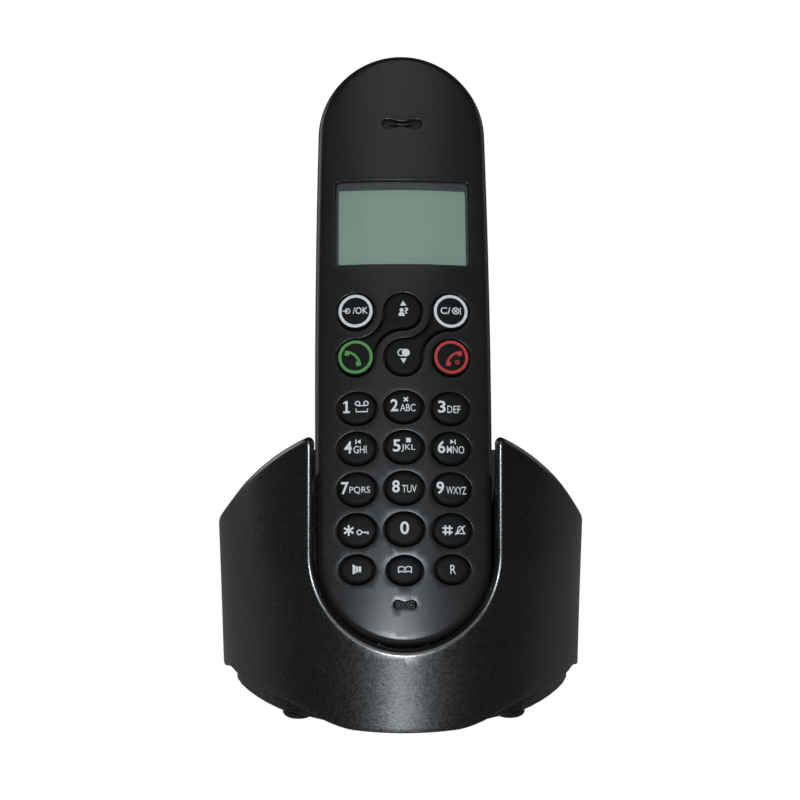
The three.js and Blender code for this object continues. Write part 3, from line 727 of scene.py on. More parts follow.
@dataclass(frozen=True)
class Repeat:
    """Equal pieces at several places on one body, laid out with Geometry Nodes."""

    name: str
    body: str
    slot: str
    finish: Finish
    spread: float = 0.0
    seed: int = 7

    def build(self, piece: bpy.types.Object, spots: Sequence[tuple[float, float, float]], where: Matrix,
              palette: Palette) -> bpy.types.Object:
        """Sets the piece at each spot and keeps the result as a plain mesh.

        Args:
            piece: The piece to repeat, used up by this.
            spots: Places in millimetres, in the body's own frame.
            where: The body's frame in the row's frame.
            palette: Holder of the materials.

        Returns:
            The finished object.
        """
        mesh = bpy.data.meshes.new(self.name)
        mesh.from_pydata([tuple(value * MM for value in spot) for spot in spots], [], [])
        thing = link(self.name, mesh)
        layout = thing.modifiers.new("layout", "NODES")
        layout.node_group = palette.repeats
        values = {
            "Piece": piece,
            "Material": palette.get(self.finish),
            "Spread of turn": self.spread,
            "Seed": self.seed,
        }
        for item in palette.repeats.interface.items_tree:
            if item.name in values:
                layout[item.identifier] = values[item.name]
        bpy.context.view_layer.update()
        made = bpy.data.meshes.new_from_object(thing.evaluated_get(bpy.context.evaluated_depsgraph_get()))
        thing.modifiers.clear()
        thing.data = made
        made.transform(Matrix.Translation(where.to_translation() * MM) @ where.to_3x3().to_4x4())
        bpy.data.objects.remove(piece)
        shaded(thing)
        dress(thing, palette.get(self.finish), self.body)
        return thing


def screw(shank: float) -> bpy.types.Object:
    """Makes a pan-head screw with a cross recess, its head downwards at the origin."""
    head = [(1.6, 0.0), (2.05, 0.06), (2.32, 0.28), (2.4, 0.6), (2.4, 1.4)]
    thing = lathe([*head, (1.2, 1.4), (1.2, shank - 0.5), (0.8, shank)]).finish("screw")
    boolean(thing, [block((-1.3, -0.3, -0.5), (1.3, 0.3, 0.75)), block((-0.3, -1.3, -0.5), (0.3, 1.3, 0.75))],
            "DIFFERENCE")
    return thing


def dress(thing: bpy.types.Object, material: bpy.types.Material, body: str) -> None:
    """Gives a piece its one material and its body."""
    thing.data.materials.clear()
    thing.data.materials.append(material)
    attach(thing, body)
    LOG.info("%s on %s: %d faces", thing.name, body, len(thing.data.polygons))


# ------------------------------------------------------------------ handset
@dataclass
class Key:
    """One key: its name, place on the face and half sizes."""

    name: str
    x: float
    y: float
    half_x: float
    half_y: float

    def contour(self, grow: float = 0.0) -> Contour:
        """Returns the cap's outline, grown by a clearance."""
        return oval(self.x, self.y, self.half_x + grow, self.half_y + grow)


@dataclass
class Rocker:
    """An S-shaped two-way key: discs on a diagonal, joined by a neck that curls round its neighbours."""

    name: str
    left: float
    low: float
    pitch: float
    radius: float

    def contour(self, grow: float = 0.0) -> Contour:
        """Returns the cap's outline, grown by a clearance."""
        right, high = self.left + self.pitch, self.low + self.pitch
        radius = self.radius + grow
        bend = self.pitch - radius
        return joined([
            arc((right, high), radius, -90, 180, 42),
            arc((self.left, high), bend, 0, -90, 18, outward=False),
            arc((self.left, self.low), radius, 90, 360, 42),
            arc((right, self.low), bend, 180, 90, 18, outward=False),
        ])


@dataclass
class Handset:
    """The handset: shells, lens, keys and their prints."""

    half_width: float = 23.6
    end_radius: float = 23.0
    face_length: float = 160.0
    edge_round: float = 2.0
    thick: float = 24.0
    split: float = 11.0
    wall: float = 1.8
    crown_radius: float = 110.0
    lens_centre: float = 112.7
    lens_width: float = 35.9
    lens_height: float = 23.7
    lens_thick: float = 1.2
    panel_depth: float = 3.0
    key_pitch: float = 12.4
    nav_pitch: float = 12.75
    nav_radius: float = 5.0
    nav_upper: float = 87.4
    number_half: tuple[float, float] = (5.15, 4.35)
    lower_half: tuple[float, float] = (4.6, 3.7)
    number_rows: tuple[float, ...] = (60.7, 49.8, 38.9, 28.0)
    lower_row: float = 17.8
    row_arch: float = 0.3
    key_rise: float = 0.9
    key_depth: float = 1.5
    key_clear: float = 0.3
    well_round: float = 0.26
    key_edge: tuple[tuple[float, float], ...] = ((0.0, -0.1), (0.05, 0.18), (0.2, 0.46), (0.42, 0.66),
                                                 (0.75, 0.8), (1.15, 0.87))
    key_edge_reach: float = 1.6
    key_foot: float = 0.12
    ear_slot: tuple[float, float, float, float] = (141.4, 10.8, 2.7, 1.3)
    voice_slot: tuple[float, float, float, float] = (8.7, 5.8, 2.1, 1.0)
    door_low: float = 60.0
    door_high: float = 124.0
    door_half: float = 16.5
    door_gap: float = 0.3
    screw_place: tuple[float, float] = (14.5, 134.0)
    screw_hole: float = 2.75
    screw_sunk: float = 3.2
    screw_shank: float = 14.0
    contact_place: float = 6.0
    contact_half: float = 1.85
    contact_depth: tuple[float, float] = (-18.85, -13.15)
    ringer_row: float = 40.0
    grip_low: float = 114.6
    grip_high: float = 121.8
    grip_half: float = 7.4
    grip_depth: float = 0.45
    rib_count: int = 5
    rib_pitch: float = 1.4
    rib_radius: float = 0.34
    keys: list[Key] = field(default_factory=list)
    rockers: list[Rocker] = field(default_factory=list)

    def __post_init__(self) -> None:
        """Lays out the keypad."""
        nav_lower = self.nav_upper - self.nav_pitch
        self.keys.append(Key("key_ok", -self.nav_pitch, self.nav_upper, self.nav_radius, self.nav_radius))
        self.keys.append(Key("key_end", self.nav_pitch, nav_lower, self.nav_radius, self.nav_radius))
        names = (("1", "2", "3"), ("4", "5", "6"), ("7", "8", "9"), ("star", "0", "hash"))
        for labels, row in zip(names, self.number_rows):
            for column, label in enumerate(labels, start=-1):
                arch = self.row_arch if column == 0 else 0.0
                self.keys.append(Key(f"key_{label}", column * self.key_pitch, row + arch, *self.number_half))
        for column, label in enumerate(("speaker", "phonebook", "recall"), start=-1):
            arch = self.row_arch if column == 0 else 0.0
            place = (column * self.key_pitch, self.lower_row - arch)
            self.keys.append(Key(f"key_{label}", *place, *self.lower_half))
        for name, x in (("rocker_up_call", -self.nav_pitch), ("rocker_down_clear", 0.0)):
            self.rockers.append(Rocker(name, x, nav_lower, self.nav_pitch, self.nav_radius))

    def crown(self, flat: Array) -> Array:
        """Returns the face's height: highest along the middle, falling to both sides."""
        return -np.asarray(flat)[:, 0] ** 2 / (2 * self.crown_radius)

    def outline(self, inset: float) -> Array:
        """Returns the handset's round-ended outline, inset by a distance."""
        end_steps, side_steps = 48, 28
        radius = self.end_radius - inset
        reach = self.face_length / 2 + self.edge_round - self.end_radius
        bulge = self.half_width - self.end_radius
        middle = self.face_length / 2
        points = []
        for side in (1, -1):
            for i in range(end_steps):
                turn = math.pi * i / end_steps
                high = reach + radius * math.sin(turn)
                points.append((side * radius * math.cos(turn), middle + side * high))
            for i in range(side_steps):
                along = 1 - 2 * i / side_steps
                points.append((-side * (radius + bulge * (1 - along * along)), middle + side * reach * along))
        return np.array(points)

    def on_face(self, flat: Array, depth: float) -> Array:
        """Puts flat positions on the crowned face, sunk by a depth."""
        return np.column_stack([flat, self.crown(flat) - depth])

    def build(self, places: Places, palette: Palette) -> None:
        """Builds and dresses every handset piece."""
        self.front_shell(places, palette)
        self.slot_bars(places, palette)
        self.rear_shell(places, palette)
        self.display(places, palette)
        for key in self.keys:
            self.cap(key.name, key.contour(), 1.0, places, palette)
        for rocker in self.rockers:
            self.cap(rocker.name, rocker.contour(), 0.6, places, palette)
        self.prints(places, palette)
        self.insides(palette)

    def dumbbell(self, y: float, width: float, height: float, waist: float) -> Contour:
        """Returns the outline of a sound slot: two round ends joined by a narrower waist."""
        steps = 60
        turn = 2 * np.pi * np.arange(steps) / steps
        x = np.cos(turn)
        reach = width / 2 * np.sign(x) * np.abs(x) ** 0.75
        lobe = np.clip(np.abs(reach) / (width / 2 - height / 2), 0, 1)
        tall = waist / 2 + (height - waist) / 2 * (lobe * lobe * (3 - 2 * lobe))
        past = np.clip((np.abs(reach) - (width / 2 - height / 2)) / (height / 2), 0, 1)
        rise = np.where(past > 0, height / 2 * np.sqrt(np.clip(1 - past ** 2, 0, 1)), tall)
        flat_end = np.abs(np.sin(turn)) < 1e-9
        points = np.column_stack([reach, y + np.sign(np.sin(turn)) * np.where(flat_end, 0, rise)])
        ahead = np.roll(points, -1, axis=0) - np.roll(points, 1, axis=0)
        normals = np.column_stack([ahead[:, 1], -ahead[:, 0]])
        return Contour(points, normals / np.linalg.norm(normals, axis=1, keepdims=True))

    def front_shell(self, places: Places, palette: Palette) -> None:
        """Builds the front shell: crowned face, soft-edged wells, lens seat and sound slots."""
        shape = Sculpt()
        floor = self.wall + 0.2
        wells = [*self.keys, *self.rockers]
        holes: list[tuple[Contour, float]] = [(key.contour(self.key_clear), self.well_round) for key in wells]
        seat = (self.lens_width + 0.5, self.lens_height + 0.5)
        holes.append((rounded_box(0, self.lens_centre, *seat, 1.3), 0.3))
        holes.append((self.dumbbell(*self.ear_slot), 0.35))
        holes.append((self.dumbbell(*self.voice_slot), 0.3))
        top_rings, low_rings = [], []
        for contour, radius in holes:
            rings = [self.on_face(contour.grown(away), depth) for away, depth in fillet(radius)]
            rings.append(self.on_face(contour.points, floor))
            first, last = shape.stack(rings)
            top_rings.append((first, contour.grown(radius)))
            low_rings.append((last, contour.points))
        edge = [(inset, depth) for inset, depth in fillet(self.edge_round, 7)]
        rings = []
        for inset, depth in edge:
            rings.append(self.on_face(self.outline(inset), depth))
        sides = self.outline(0)
        for depth in (5.0, 8.0):
            share = 1 - depth / self.split
            rings.append(np.column_stack([sides, self.crown(sides) * share - depth]))
        rings.append(at_height(sides, -self.split + 0.25))
        rings.append(at_height(self.outline(0.25), -self.split))
        inner = self.outline(self.wall)
        rings.append(at_height(inner, -self.split))
        rings.append(self.on_face(inner, 4.2))
        tuck = self.outline(self.wall + 1.2)
        rings.append(self.on_face(tuck, floor))
        first, last = shape.stack([ring[::-1] for ring in rings])
        outer = self.outline(self.edge_round)[::-1]
        shape.patch([(first, outer)] + top_rings, lambda flat: self.on_face(flat, 0), 1.5, True)
        shape.patch([(last, tuck[::-1])] + low_rings, lambda flat: self.on_face(flat, floor), 2.5, False)
        thing = shape.finish("handset_front", places.face)
        dress(thing, palette.get(HANDSET_BLACK), "handset")
        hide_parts("front_shell")

    def slot_bars(self, places: Places, palette: Palette) -> None:
        """Builds the small bars seen inside the two sound slots."""
        shape = Sculpt()
        for x, y, half_x, half_y in (
                (-1.65, self.voice_slot[0], 0.62, 0.42),
                (1.65, self.voice_slot[0], 0.62, 0.42),
                (0, self.voice_slot[0] + 0.02, 0.62, 0.14),
                (0, self.ear_slot[0], 3.4, 0.3),
        ):
            contour = oval(x, y, half_x, half_y, 28)
            rings = [self.on_face(contour.grown(-inset), depth)
                     for inset, depth in ((0, 1.7), (0, 0.62), (0.05, 0.5), (0.12, 0.46))]
            first, last = shape.stack(rings)
            shape.cap(last)
            shape.cap(first, False)
        thing = shape.finish("slot_bars", places.face)
        dress(thing, palette.get(HANDSET_BLACK), "handset")

    def rear_profile(self) -> list[tuple[float, float]]:
        """Returns the rear's rounding as (inset, depth), from the seam to the back."""
        steps = 12
        wide, deep = 7.5, self.thick - self.split - 3.0
        profile = [(0.25, self.split + 0.3), (0.0, self.split + 0.55), (0.0, self.split + 3.0)]
        for i in range(1, steps + 1):
            turn = math.pi / 2 * i / steps
            profile.append((wide * (1 - math.cos(turn)) ** 1.25, self.split + 3.0 + deep * math.sin(turn)))
        return profile

    def rear_shell(self, places: Places, palette: Palette) -> None:
        """Builds the rear shell and the battery door as shells split by a fine seam."""
        back = -self.thick
        outside = [at_height(self.outline(inset), -depth) for inset, depth in self.rear_profile()]
        hollow = [at_height(self.outline(inset + self.wall), -max(depth - self.wall, self.split - 1))
                  for inset, depth in self.rear_profile()[2:]]
        hollow[0][:, 2] = -self.split + 1

        def solid(rings: Sequence[Array]) -> bpy.types.Object:
            """Closes a stack of outline rings, the first nearest the face."""
            shape = Sculpt()
            first, last = shape.stack([ring[::-1] for ring in rings])
            shape.faces += [tuple(reversed(first)), tuple(last)]
            return shape.finish("tool", places.face)

        for name, node, body in (
                ("handset_rear", "rear_shell", "handset"),
                ("battery_cover", "battery_door", "battery_door"),
        ):
            thing = solid(outside)
            thing.name = name
            boolean(thing, [solid(hollow)], "DIFFERENCE")
            grow = self.door_gap if body == "handset" else 0.0
            half = self.door_half + grow
            prism = block((-half, self.door_low - grow, back - 2),
                          (half, self.door_high + grow, back + 5), places.face)
            if body == "handset":
                boolean(thing, [prism, *self.rear_openings(places.face)], "DIFFERENCE")
            else:
                boolean(thing, [prism], "INTERSECT")
                recess = block((-self.grip_half, self.grip_low, back - 1),
                               (self.grip_half, self.grip_high, back + self.grip_depth), places.face)
                boolean(thing, [recess], "DIFFERENCE")
            shaded(thing, 30)
            dress(thing, palette.get(HANDSET_BLACK), body)
            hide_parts(node)
        self.rear_details(places, palette)

    def rear_openings(self, face: Matrix) -> list[bpy.types.Object]:
        """Makes the tools for the screw wells, contact openings and ringer slots."""
        back, (across, up) = -self.thick, self.screw_place
        low, high = self.contact_depth
        tools = []
        for side in (-1, 1):
            tools.append(round_tool(side * across, up, self.screw_hole, back - 1, back + 5.2, face))
            middle = side * self.contact_place
            left, right = middle - self.contact_half, middle + self.contact_half
            tools.append(block((left, -6, low), (right, 6, high), face))
        for row in (-4, 0, 4):
            y = self.ringer_row + row
            tools.append(block((-5, y - 0.6, back - 1), (5, y + 0.6, back + 3), face))
        return tools

    def rear_details(self, places: Places, palette: Palette) -> None:
        """Sets the two case screws and the grip ribs of the battery door."""
        across, up = self.screw_place
        screws = Repeat("case_screws", "handset", "steel", STEEL, spread=3.0).build(
            screw(self.screw_shank), [(side * across, up, -self.thick + self.screw_sunk) for side in (-1, 1)],
            places.face, palette)
        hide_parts("handset_screw_left", "handset_screw_right")
        section = oval(0, 0, 1, 1, 12).points * self.rib_radius
        rib = Sculpt()
        sizes = [(-6.9, 0.12), (-6.75, 0.75), (-6.4, 1.0), (6.4, 1.0), (6.75, 0.75), (6.9, 0.12)]
        first, last = rib.stack([np.column_stack([np.full(len(section), x), section * size])
                                 for x, size in sizes])
        rib.faces += [tuple(reversed(first)), tuple(last)]
        lowest = self.grip_low + 0.8
        spots = [(0, lowest + self.rib_pitch * row, -self.thick + 0.4) for row in range(self.rib_count)]
        Repeat("grip_ribs", "battery_door", "handset_casing", HANDSET_BLACK).build(
            rib.finish("rib"), spots, places.face, palette)

    def display(self, places: Places, palette: Palette) -> None:
        """Builds the lens, the dark frame under it and the panel. The frame's black walls and wider top band
        are partly a real mask and partly painted shade cast by the bezel onto the panel.
        """
        lens = Sculpt()
        rings = []
        for inset, depth in [(0.0, self.lens_thick + 0.1), (0.0, 0.32), (0.1, 0.16), (0.34, 0.06)]:
            width, height = self.lens_width - 2 * inset, self.lens_height - 2 * inset
            contour = rounded_box(0, self.lens_centre, width, height, 1.1)
            rings.append((self.on_face(contour.points, depth), contour.points))
        first, last = lens.stack([points for points, _ in rings])
        lens.patch([(last, rings[-1][1])], lambda flat: self.on_face(flat, 0.06), 2.0, True)
        lens.patch([(first, rings[0][1])], lambda flat: self.on_face(flat, self.lens_thick + 0.1), 2.0, False)
        thing = lens.finish("lens", places.face)
        dress(thing, palette.get(LENS), "handset")
        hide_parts("display_lens")

        frame = Sculpt()
        outer = rounded_box(0, self.lens_centre, self.lens_width + 0.3, self.lens_height + 0.3, 1.0)
        # The window sits low in the frame, so the wider top band, black like the walls, is partly a real mask
        # and partly painted shade of the bezel on the panel.
        window = rounded_box(0, self.lens_centre - 0.55, self.lens_width - 1.2, self.lens_height - 1.9, 0.5)
        levels = [self.lens_thick + 0.2, self.panel_depth - 0.05]
        outs = [frame.ring(self.on_face(outer.points, depth)) for depth in levels]
        ins = [frame.ring(self.on_face(window.points, depth)) for depth in levels]
        frame.bridge(outs[1], outs[0])
        frame.bridge(ins[0], ins[1])
        frame.bridge(outs[0], ins[0])
        frame.bridge(ins[1], outs[1])
        thing = frame.finish("display_frame", places.face)
        dress(thing, palette.get(RECESS_BLACK), "handset")

        panel = Sculpt()
        contour = rounded_box(0, self.lens_centre - 0.6, self.lens_width, self.lens_height + 1.0, 0.6)
        under = self.panel_depth + 1.2
        rings = [self.on_face(contour.points, depth) for depth in (under, self.panel_depth)]
        first, last = panel.stack(rings)
        panel.patch([(last, contour.points)], lambda flat: self.on_face(flat, self.panel_depth), 3.0, True)
        panel.patch([(first, contour.points)], lambda flat: self.on_face(flat, under), 3.0, False)
        thing = panel.finish("display_panel", places.face)
        dress(thing, palette.get(PANEL), "handset")
        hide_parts("display_module")

    def cap(self, name: str, contour: Contour, soft: float, places: Places, palette: Palette) -> None:
        """Builds a keycap with sloped flanks and a softly rounded top.

        Args:
            name: Name of the key's node and body.
            contour: Outline of the cap.
            soft: How wide its rounding is, 1 for a full one.
            places: Where the face stands.
            palette: Holder of the materials.
        """
        shape = Sculpt()
        floor = float(self.crown(contour.points).mean()) - self.key_depth
        profile = [*self.key_edge, (self.key_edge_reach, self.key_rise)]
        rings = [at_height(contour.grown(-inset * soft), floor + rise)
                 for inset, rise in ((self.key_foot, 0.0), (0.0, self.key_foot))]
        for inset, height in profile:
            flat = contour.grown(-inset * soft)
            rings.append(np.column_stack([flat, self.crown(flat) + height]))
        first, last = shape.stack(rings)
        top = contour.grown(-self.key_edge_reach * soft)
        shape.patch([(last, top)], lambda flat: self.on_face(flat, -self.key_rise), 1.4, True)
        under = contour.grown(-self.key_foot * soft)
        shape.patch([(first, under)], lambda flat: at_height(flat, floor), 2.5, False)
        thing = shape.finish(f"cap_{name}", places.face)
        dress(thing, palette.get(KEY_BLACK), name)
        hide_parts(name)

    def prints(self, places: Places, palette: Palette) -> None:
        """Prints the digits, letters and symbols on the caps."""
        where = {key.name: (key.x, key.y) for key in self.keys}
        top: Lift = lambda flat: self.crown(flat) + self.key_rise

        def symbols(label: str) -> Symbols:
            """Starts a symbol set on the caps' tops."""
            return Symbols(f"print_{label}", top)

        letters = {
            "key_2": (-2.5, "2", 1.04, "ABC", 4.1), "key_3": (-2.35, "3", 0.85, "DEF", 3.5),
            "key_4": (-2.3, "4", 0.85, "GHI", 3.4), "key_5": (-1.95, "5", 1.1, "JKL", 3.7),
            "key_6": (-2.55, "6", 1.15, "MNO", 4.6), "key_7": (-3.1, "7", 0.75, "PQRS", 5.4),
            "key_8": (-2.2, "8", 1.3, "TUV", 3.8), "key_9": (-3.0, "9", 1.2, "WXYZ", 5.3),
        }
        foot = -1.35
        for name, (digit_x, digit, text_x, text, wide) in letters.items():
            x, y = where[name]
            mark = symbols(name)
            mark.words(digit, x + digit_x, y + foot, 3.3, 2.0, 0.02)
            mark.words(text, x + text_x, y + foot, 2.0, wide, 0.002)
            if name == "key_2":
                mark.stroke([(x + 0.0, y + 1.35), (x + 1.1, y + 2.4)], 0.4)
                mark.stroke([(x + 0.0, y + 2.4), (x + 1.1, y + 1.35)], 0.4)
            if name in ("key_4", "key_6"):
                side = 1 if name == "key_6" else -1
                cx, cy = x + 0.4, y + 1.75
                bar = cx + side * 0.65
                mark.bar(bar, cy, 0.16, 0.62)
                wedge = [(cx - side * 0.6, cy - 0.62), (cx + side * 0.4, cy), (cx - side * 0.6, cy + 0.62)]
                mark.slab(wedge if side > 0 else wedge[::-1])
            if name == "key_5":
                cx, cy = x + 1.15, y + 1.75
                mark.bar(cx, cy, 0.62, 0.6)
            mark.finish(places.face, Print.WHITE, palette, name)

        x, y = where["key_1"]
        mark = symbols("key_1")
        one = [(-0.95, 0), (0.85, 0), (0.85, 0.5), (0.25, 0.5), (0.25, 3.3), (-0.2, 3.3), (-0.95, 2.85),
               (-0.95, 2.4), (-0.35, 2.7), (-0.35, 0.5), (-0.95, 0.5)]
        mark.slab([(x - 2.65 + a, y + foot + b) for a, b in one])
        for side in (-1, 1):
            mark.ring(x + 1.3 + side * 1.1, y + 1.2, 0.72, 0.3, 24)
        mark.stroke([(x + 0.2, y + 0.6), (x + 2.4, y + 0.6)], 0.3)
        tape = [(-0.2, -0.25), (-0.2, -1.05), (2.8, -1.05), (2.8, -0.25)]
        mark.stroke([(x + a, y + b) for a, b in tape], 0.34)
        mark.finish(places.face, Print.WHITE, palette, "key_1")

        x, y = where["key_0"]
        mark = symbols("key_0")
        mark.words("0", x, y + foot - 0.1, 3.4, 2.3, 0.02)
        mark.finish(places.face, Print.WHITE, palette, "key_0")

        x, y = where["key_star"]
        mark = symbols("key_star")
        for turn in (90, 30, 150):
            dx, dy = 1.4 * math.cos(math.radians(turn)), 1.4 * math.sin(math.radians(turn))
            mark.stroke([(x - 2.1 - dx, y - dy), (x - 2.1 + dx, y + dy)], 0.5)
        mark.ring(x + 0.65, y - 0.55, 0.75, 0.3, 24)
        mark.stroke([(x + 1.35, y - 0.55), (x + 3.1, y - 0.55)], 0.3)
        mark.stroke([(x + 2.85, y - 0.5), (x + 2.85, y - 1.1)], 0.34)
        mark.stroke([(x + 2.25, y - 0.5), (x + 2.25, y - 0.95)], 0.3)
        mark.finish(places.face, Print.WHITE, palette, "key_star")

        x, y = where["key_hash"]
        mark = symbols("key_hash")
        for side in (-0.55, 0.55):
            mark.stroke([(x - 1.25 + side, y - 1.3), (x - 1.25 + side, y + 1.3)], 0.42)
            mark.stroke([(x - 2.6, y + side), (x + 0.1, y + side)], 0.42)
        bell = [(-1.3, -0.95), (1.3, -0.95), (1.3, -0.7), (0.85, -0.2), (0.75, 0.6), (0.3, 1.15),
                (-0.3, 1.15), (-0.75, 0.6), (-0.85, -0.2), (-1.3, -0.7)]
        inner = [(-0.85, -0.68), (0.85, -0.68), (0.58, -0.2), (0.48, 0.5), (0.15, 0.88), (-0.15, 0.88),
                 (-0.48, 0.5), (-0.58, -0.2)]
        hollow = np.array([(x + 2.1 + a, y + b) for a, b in inner])
        mark.slab([(x + 2.1 + a, y + b) for a, b in bell], [hollow])
        mark.stroke([(x + 0.75, y - 1.15), (x + 3.3, y + 1.25)], 0.3)
        mark.finish(places.face, Print.WHITE, palette, "key_hash")

        x, y = where["key_speaker"]
        mark = symbols("key_speaker")
        mark.slab([(x - 1.1, y - 1.35), (x - 0.35, y - 0.95), (x - 0.35, y + 0.95), (x - 1.1, y + 1.35)])
        mark.slab([(x - 0.2, y - 0.85), (x + 0.35, y - 0.75), (x + 0.35, y + 0.75), (x - 0.2, y + 0.85)])
        mark.bar(x + 0.8, y, 0.3, 0.75)
        mark.finish(places.face, Print.WHITE, palette, "key_speaker")

        x, y = where["key_phonebook"]
        mark = symbols("key_phonebook")
        for side in (-1, 1):
            page = [(0, -0.75), (0.9, -0.45), (1.8, -0.75), (1.8, 0.85), (0.9, 1.1), (0, 0.8)]
            hole = [(0.28, -0.38), (0.9, -0.16), (1.52, -0.38), (1.52, 0.62), (0.9, 0.82), (0.28, 0.6)]
            turned = [(x + side * a, y + b) for a, b in page]
            cut = np.array([(x + side * a, y + b) for a, b in hole])
            mark.slab(turned if side > 0 else turned[::-1], [cut if side > 0 else cut[::-1]])
        mark.finish(places.face, Print.WHITE, palette, "key_phonebook")

        x, y = where["key_recall"]
        mark = symbols("key_recall")
        mark.words("R", x + 0.1, y - 1.25, 2.4, 1.5, 0.0)
        mark.finish(places.face, Print.WHITE, palette, "key_recall")
        self.nav_prints(symbols, places, palette)

    def nav_prints(self, symbols: Callable[[str], Symbols], places: Places, palette: Palette) -> None:
        """Prints the rings and symbols of the six places round the rockers."""
        pitch, high = self.nav_pitch, self.nav_upper
        low = high - pitch
        ring, line = 4.55, 0.78

        mark = symbols("ok")
        mark.ring(-pitch, high, ring, line)
        mark.words("/OK", -pitch + 1.25, high - 0.8, 1.85, 4.0, 0.012)
        cx = -pitch - 2.25
        mark.ring(cx + 0.1, high + 0.1, 0.85, 0.26, 6)
        mark.bar(cx - 0.75, high + 0.11, 0.55, 0.13)
        mark.slab([(cx - 0.35, high - 0.4), (cx + 0.35, high + 0.11), (cx - 0.35, high + 0.62)])
        mark.finish(places.face, Print.WHITE, palette, "key_ok")

        mark = symbols("clear")
        mark.ring(pitch, high, ring, line)
        mark.words("C/", pitch - 1.4, high - 0.8, 1.9, 2.7, 0.012)
        mark.ring(pitch + 1.35, high + 0.15, 1.0, 0.28, 24)
        mark.stroke([(pitch + 0.9, high - 0.3), (pitch + 1.8, high + 0.6)], 0.26)
        mark.stroke([(pitch + 0.9, high + 0.6), (pitch + 1.8, high - 0.3)], 0.26)
        mark.stroke([(pitch + 2.62, high - 0.85), (pitch + 2.62, high + 1.15)], 0.28)
        mark.finish(places.face, Print.WHITE, palette, "rocker_down_clear")

        mark = symbols("up")
        mark.slab([(-0.85, high + 1.35), (0.85, high + 1.35), (0, high + 2.75)])
        mark.disc(-0.45, high + 0.1, 0.55, 20)
        mark.slab([(-1.25, high - 1.55), (0.35, high - 1.55), (0.3, high - 0.9), (-0.05, high - 0.5),
                   (-0.85, high - 0.5), (-1.2, high - 0.9)])
        mark.words("?", 0.85, high - 0.9, 1.7, 1.0, 0.02)
        mark.finish(places.face, Print.WHITE, palette, "rocker_up_call")

        mark = symbols("down")
        mark.ring(-0.55, low + 1.05, 1.05, 0.3, 28)
        mark.disc(0.6, low + 1.05, 1.05, 28)
        mark.slab([(0, low - 1.9), (0.85, low - 0.5), (-0.85, low - 0.5)])
        mark.finish(places.face, Print.WHITE, palette, "rocker_down_clear")

        for label, side, colour, body in (
                ("call", -1, Print.GREEN, "rocker_up_call"),
                ("end", 1, Print.RED, "key_end"),
        ):
            mark = symbols(label)
            mark.ring(side * pitch, low, ring, line)
            self.receiver(mark, side * pitch, low, -side)
            if side > 0:
                mark.ring(side * pitch + 1.6, low - 1.3, 0.62, 0.24, 20)
                mark.disc(side * pitch + 1.6, low - 1.3, 0.2, 12)
            mark.finish(places.face, colour, palette, body)

    @staticmethod
    def receiver(mark: Symbols, x: float, y: float, side: int) -> None:
        """Draws a small receiver: a bow with a cup at each end, leaning to a side."""
        bow = []
        for i in range(9):
            turn = math.radians(18 + 54 * i / 8)
            bow.append((x - side * 2.9 + side * 4.1 * math.cos(turn), y - 2.6 + 4.1 * math.sin(turn)))
        mark.stroke(bow, 0.62)
        for turn in (12, 80):
            angle = math.radians(turn)
            ray = np.array([side * math.cos(angle), math.sin(angle)])
            tangent = np.array([-ray[1], ray[0]])
            middle = np.array([x - side * 2.9, y - 2.6]) + ray * 3.85
            cup = ((-0.75, -0.62), (0.55, -0.62), (0.55, 0.62), (-0.75, 0.62))
            mark.slab([middle + ray * a + tangent * b for a, b in cup])

    def insides(self, palette: Palette) -> None:
        """Dresses the pieces inside the handset."""
        for finish, nodes in (
                (BOARD_GREEN, ("handset_board",)),
                (MAT_BLACK, ("key_mat",)),
                (RECESS_BLACK, ("earpiece", "microphone", "ringer")),
                (CRADLE_BLACK, ("battery_tray",)),
                (STEEL, ("contact_plate_lower", "contact_plate_upper")),
                (CELL_SLEEVE, ("battery_left", "battery_right")),
                (GOLD, ("charge_contact_left", "charge_contact_right")),
                (GOLD, ("charge_pin_left", "charge_pin_right")),
        ):
            for node in nodes:
                repaint(node, palette.get(finish))


def repaint(node: str, material: bpy.types.Material) -> None:
    """Gives a carried-over node its finish."""
    thing = NODES[node]
    if not thing.material_slots:
        thing.data.materials.append(material)
    for place in thing.material_slots:
        place.material = material


def soften_edges(node: str, width: float) -> None:
    """Rounds the edges of a carried-over node by a width in millimetres."""
    round_off = NODES[node].modifiers.new("soft_edges", "BEVEL")
    round_off.width = width * MM
    round_off.segments = 3
    round_off.limit_method = "ANGLE"
    round_off.angle_limit = math.radians(40)
    round_off.harden_normals = True


NODES: dict[str, bpy.types.Object] = {}


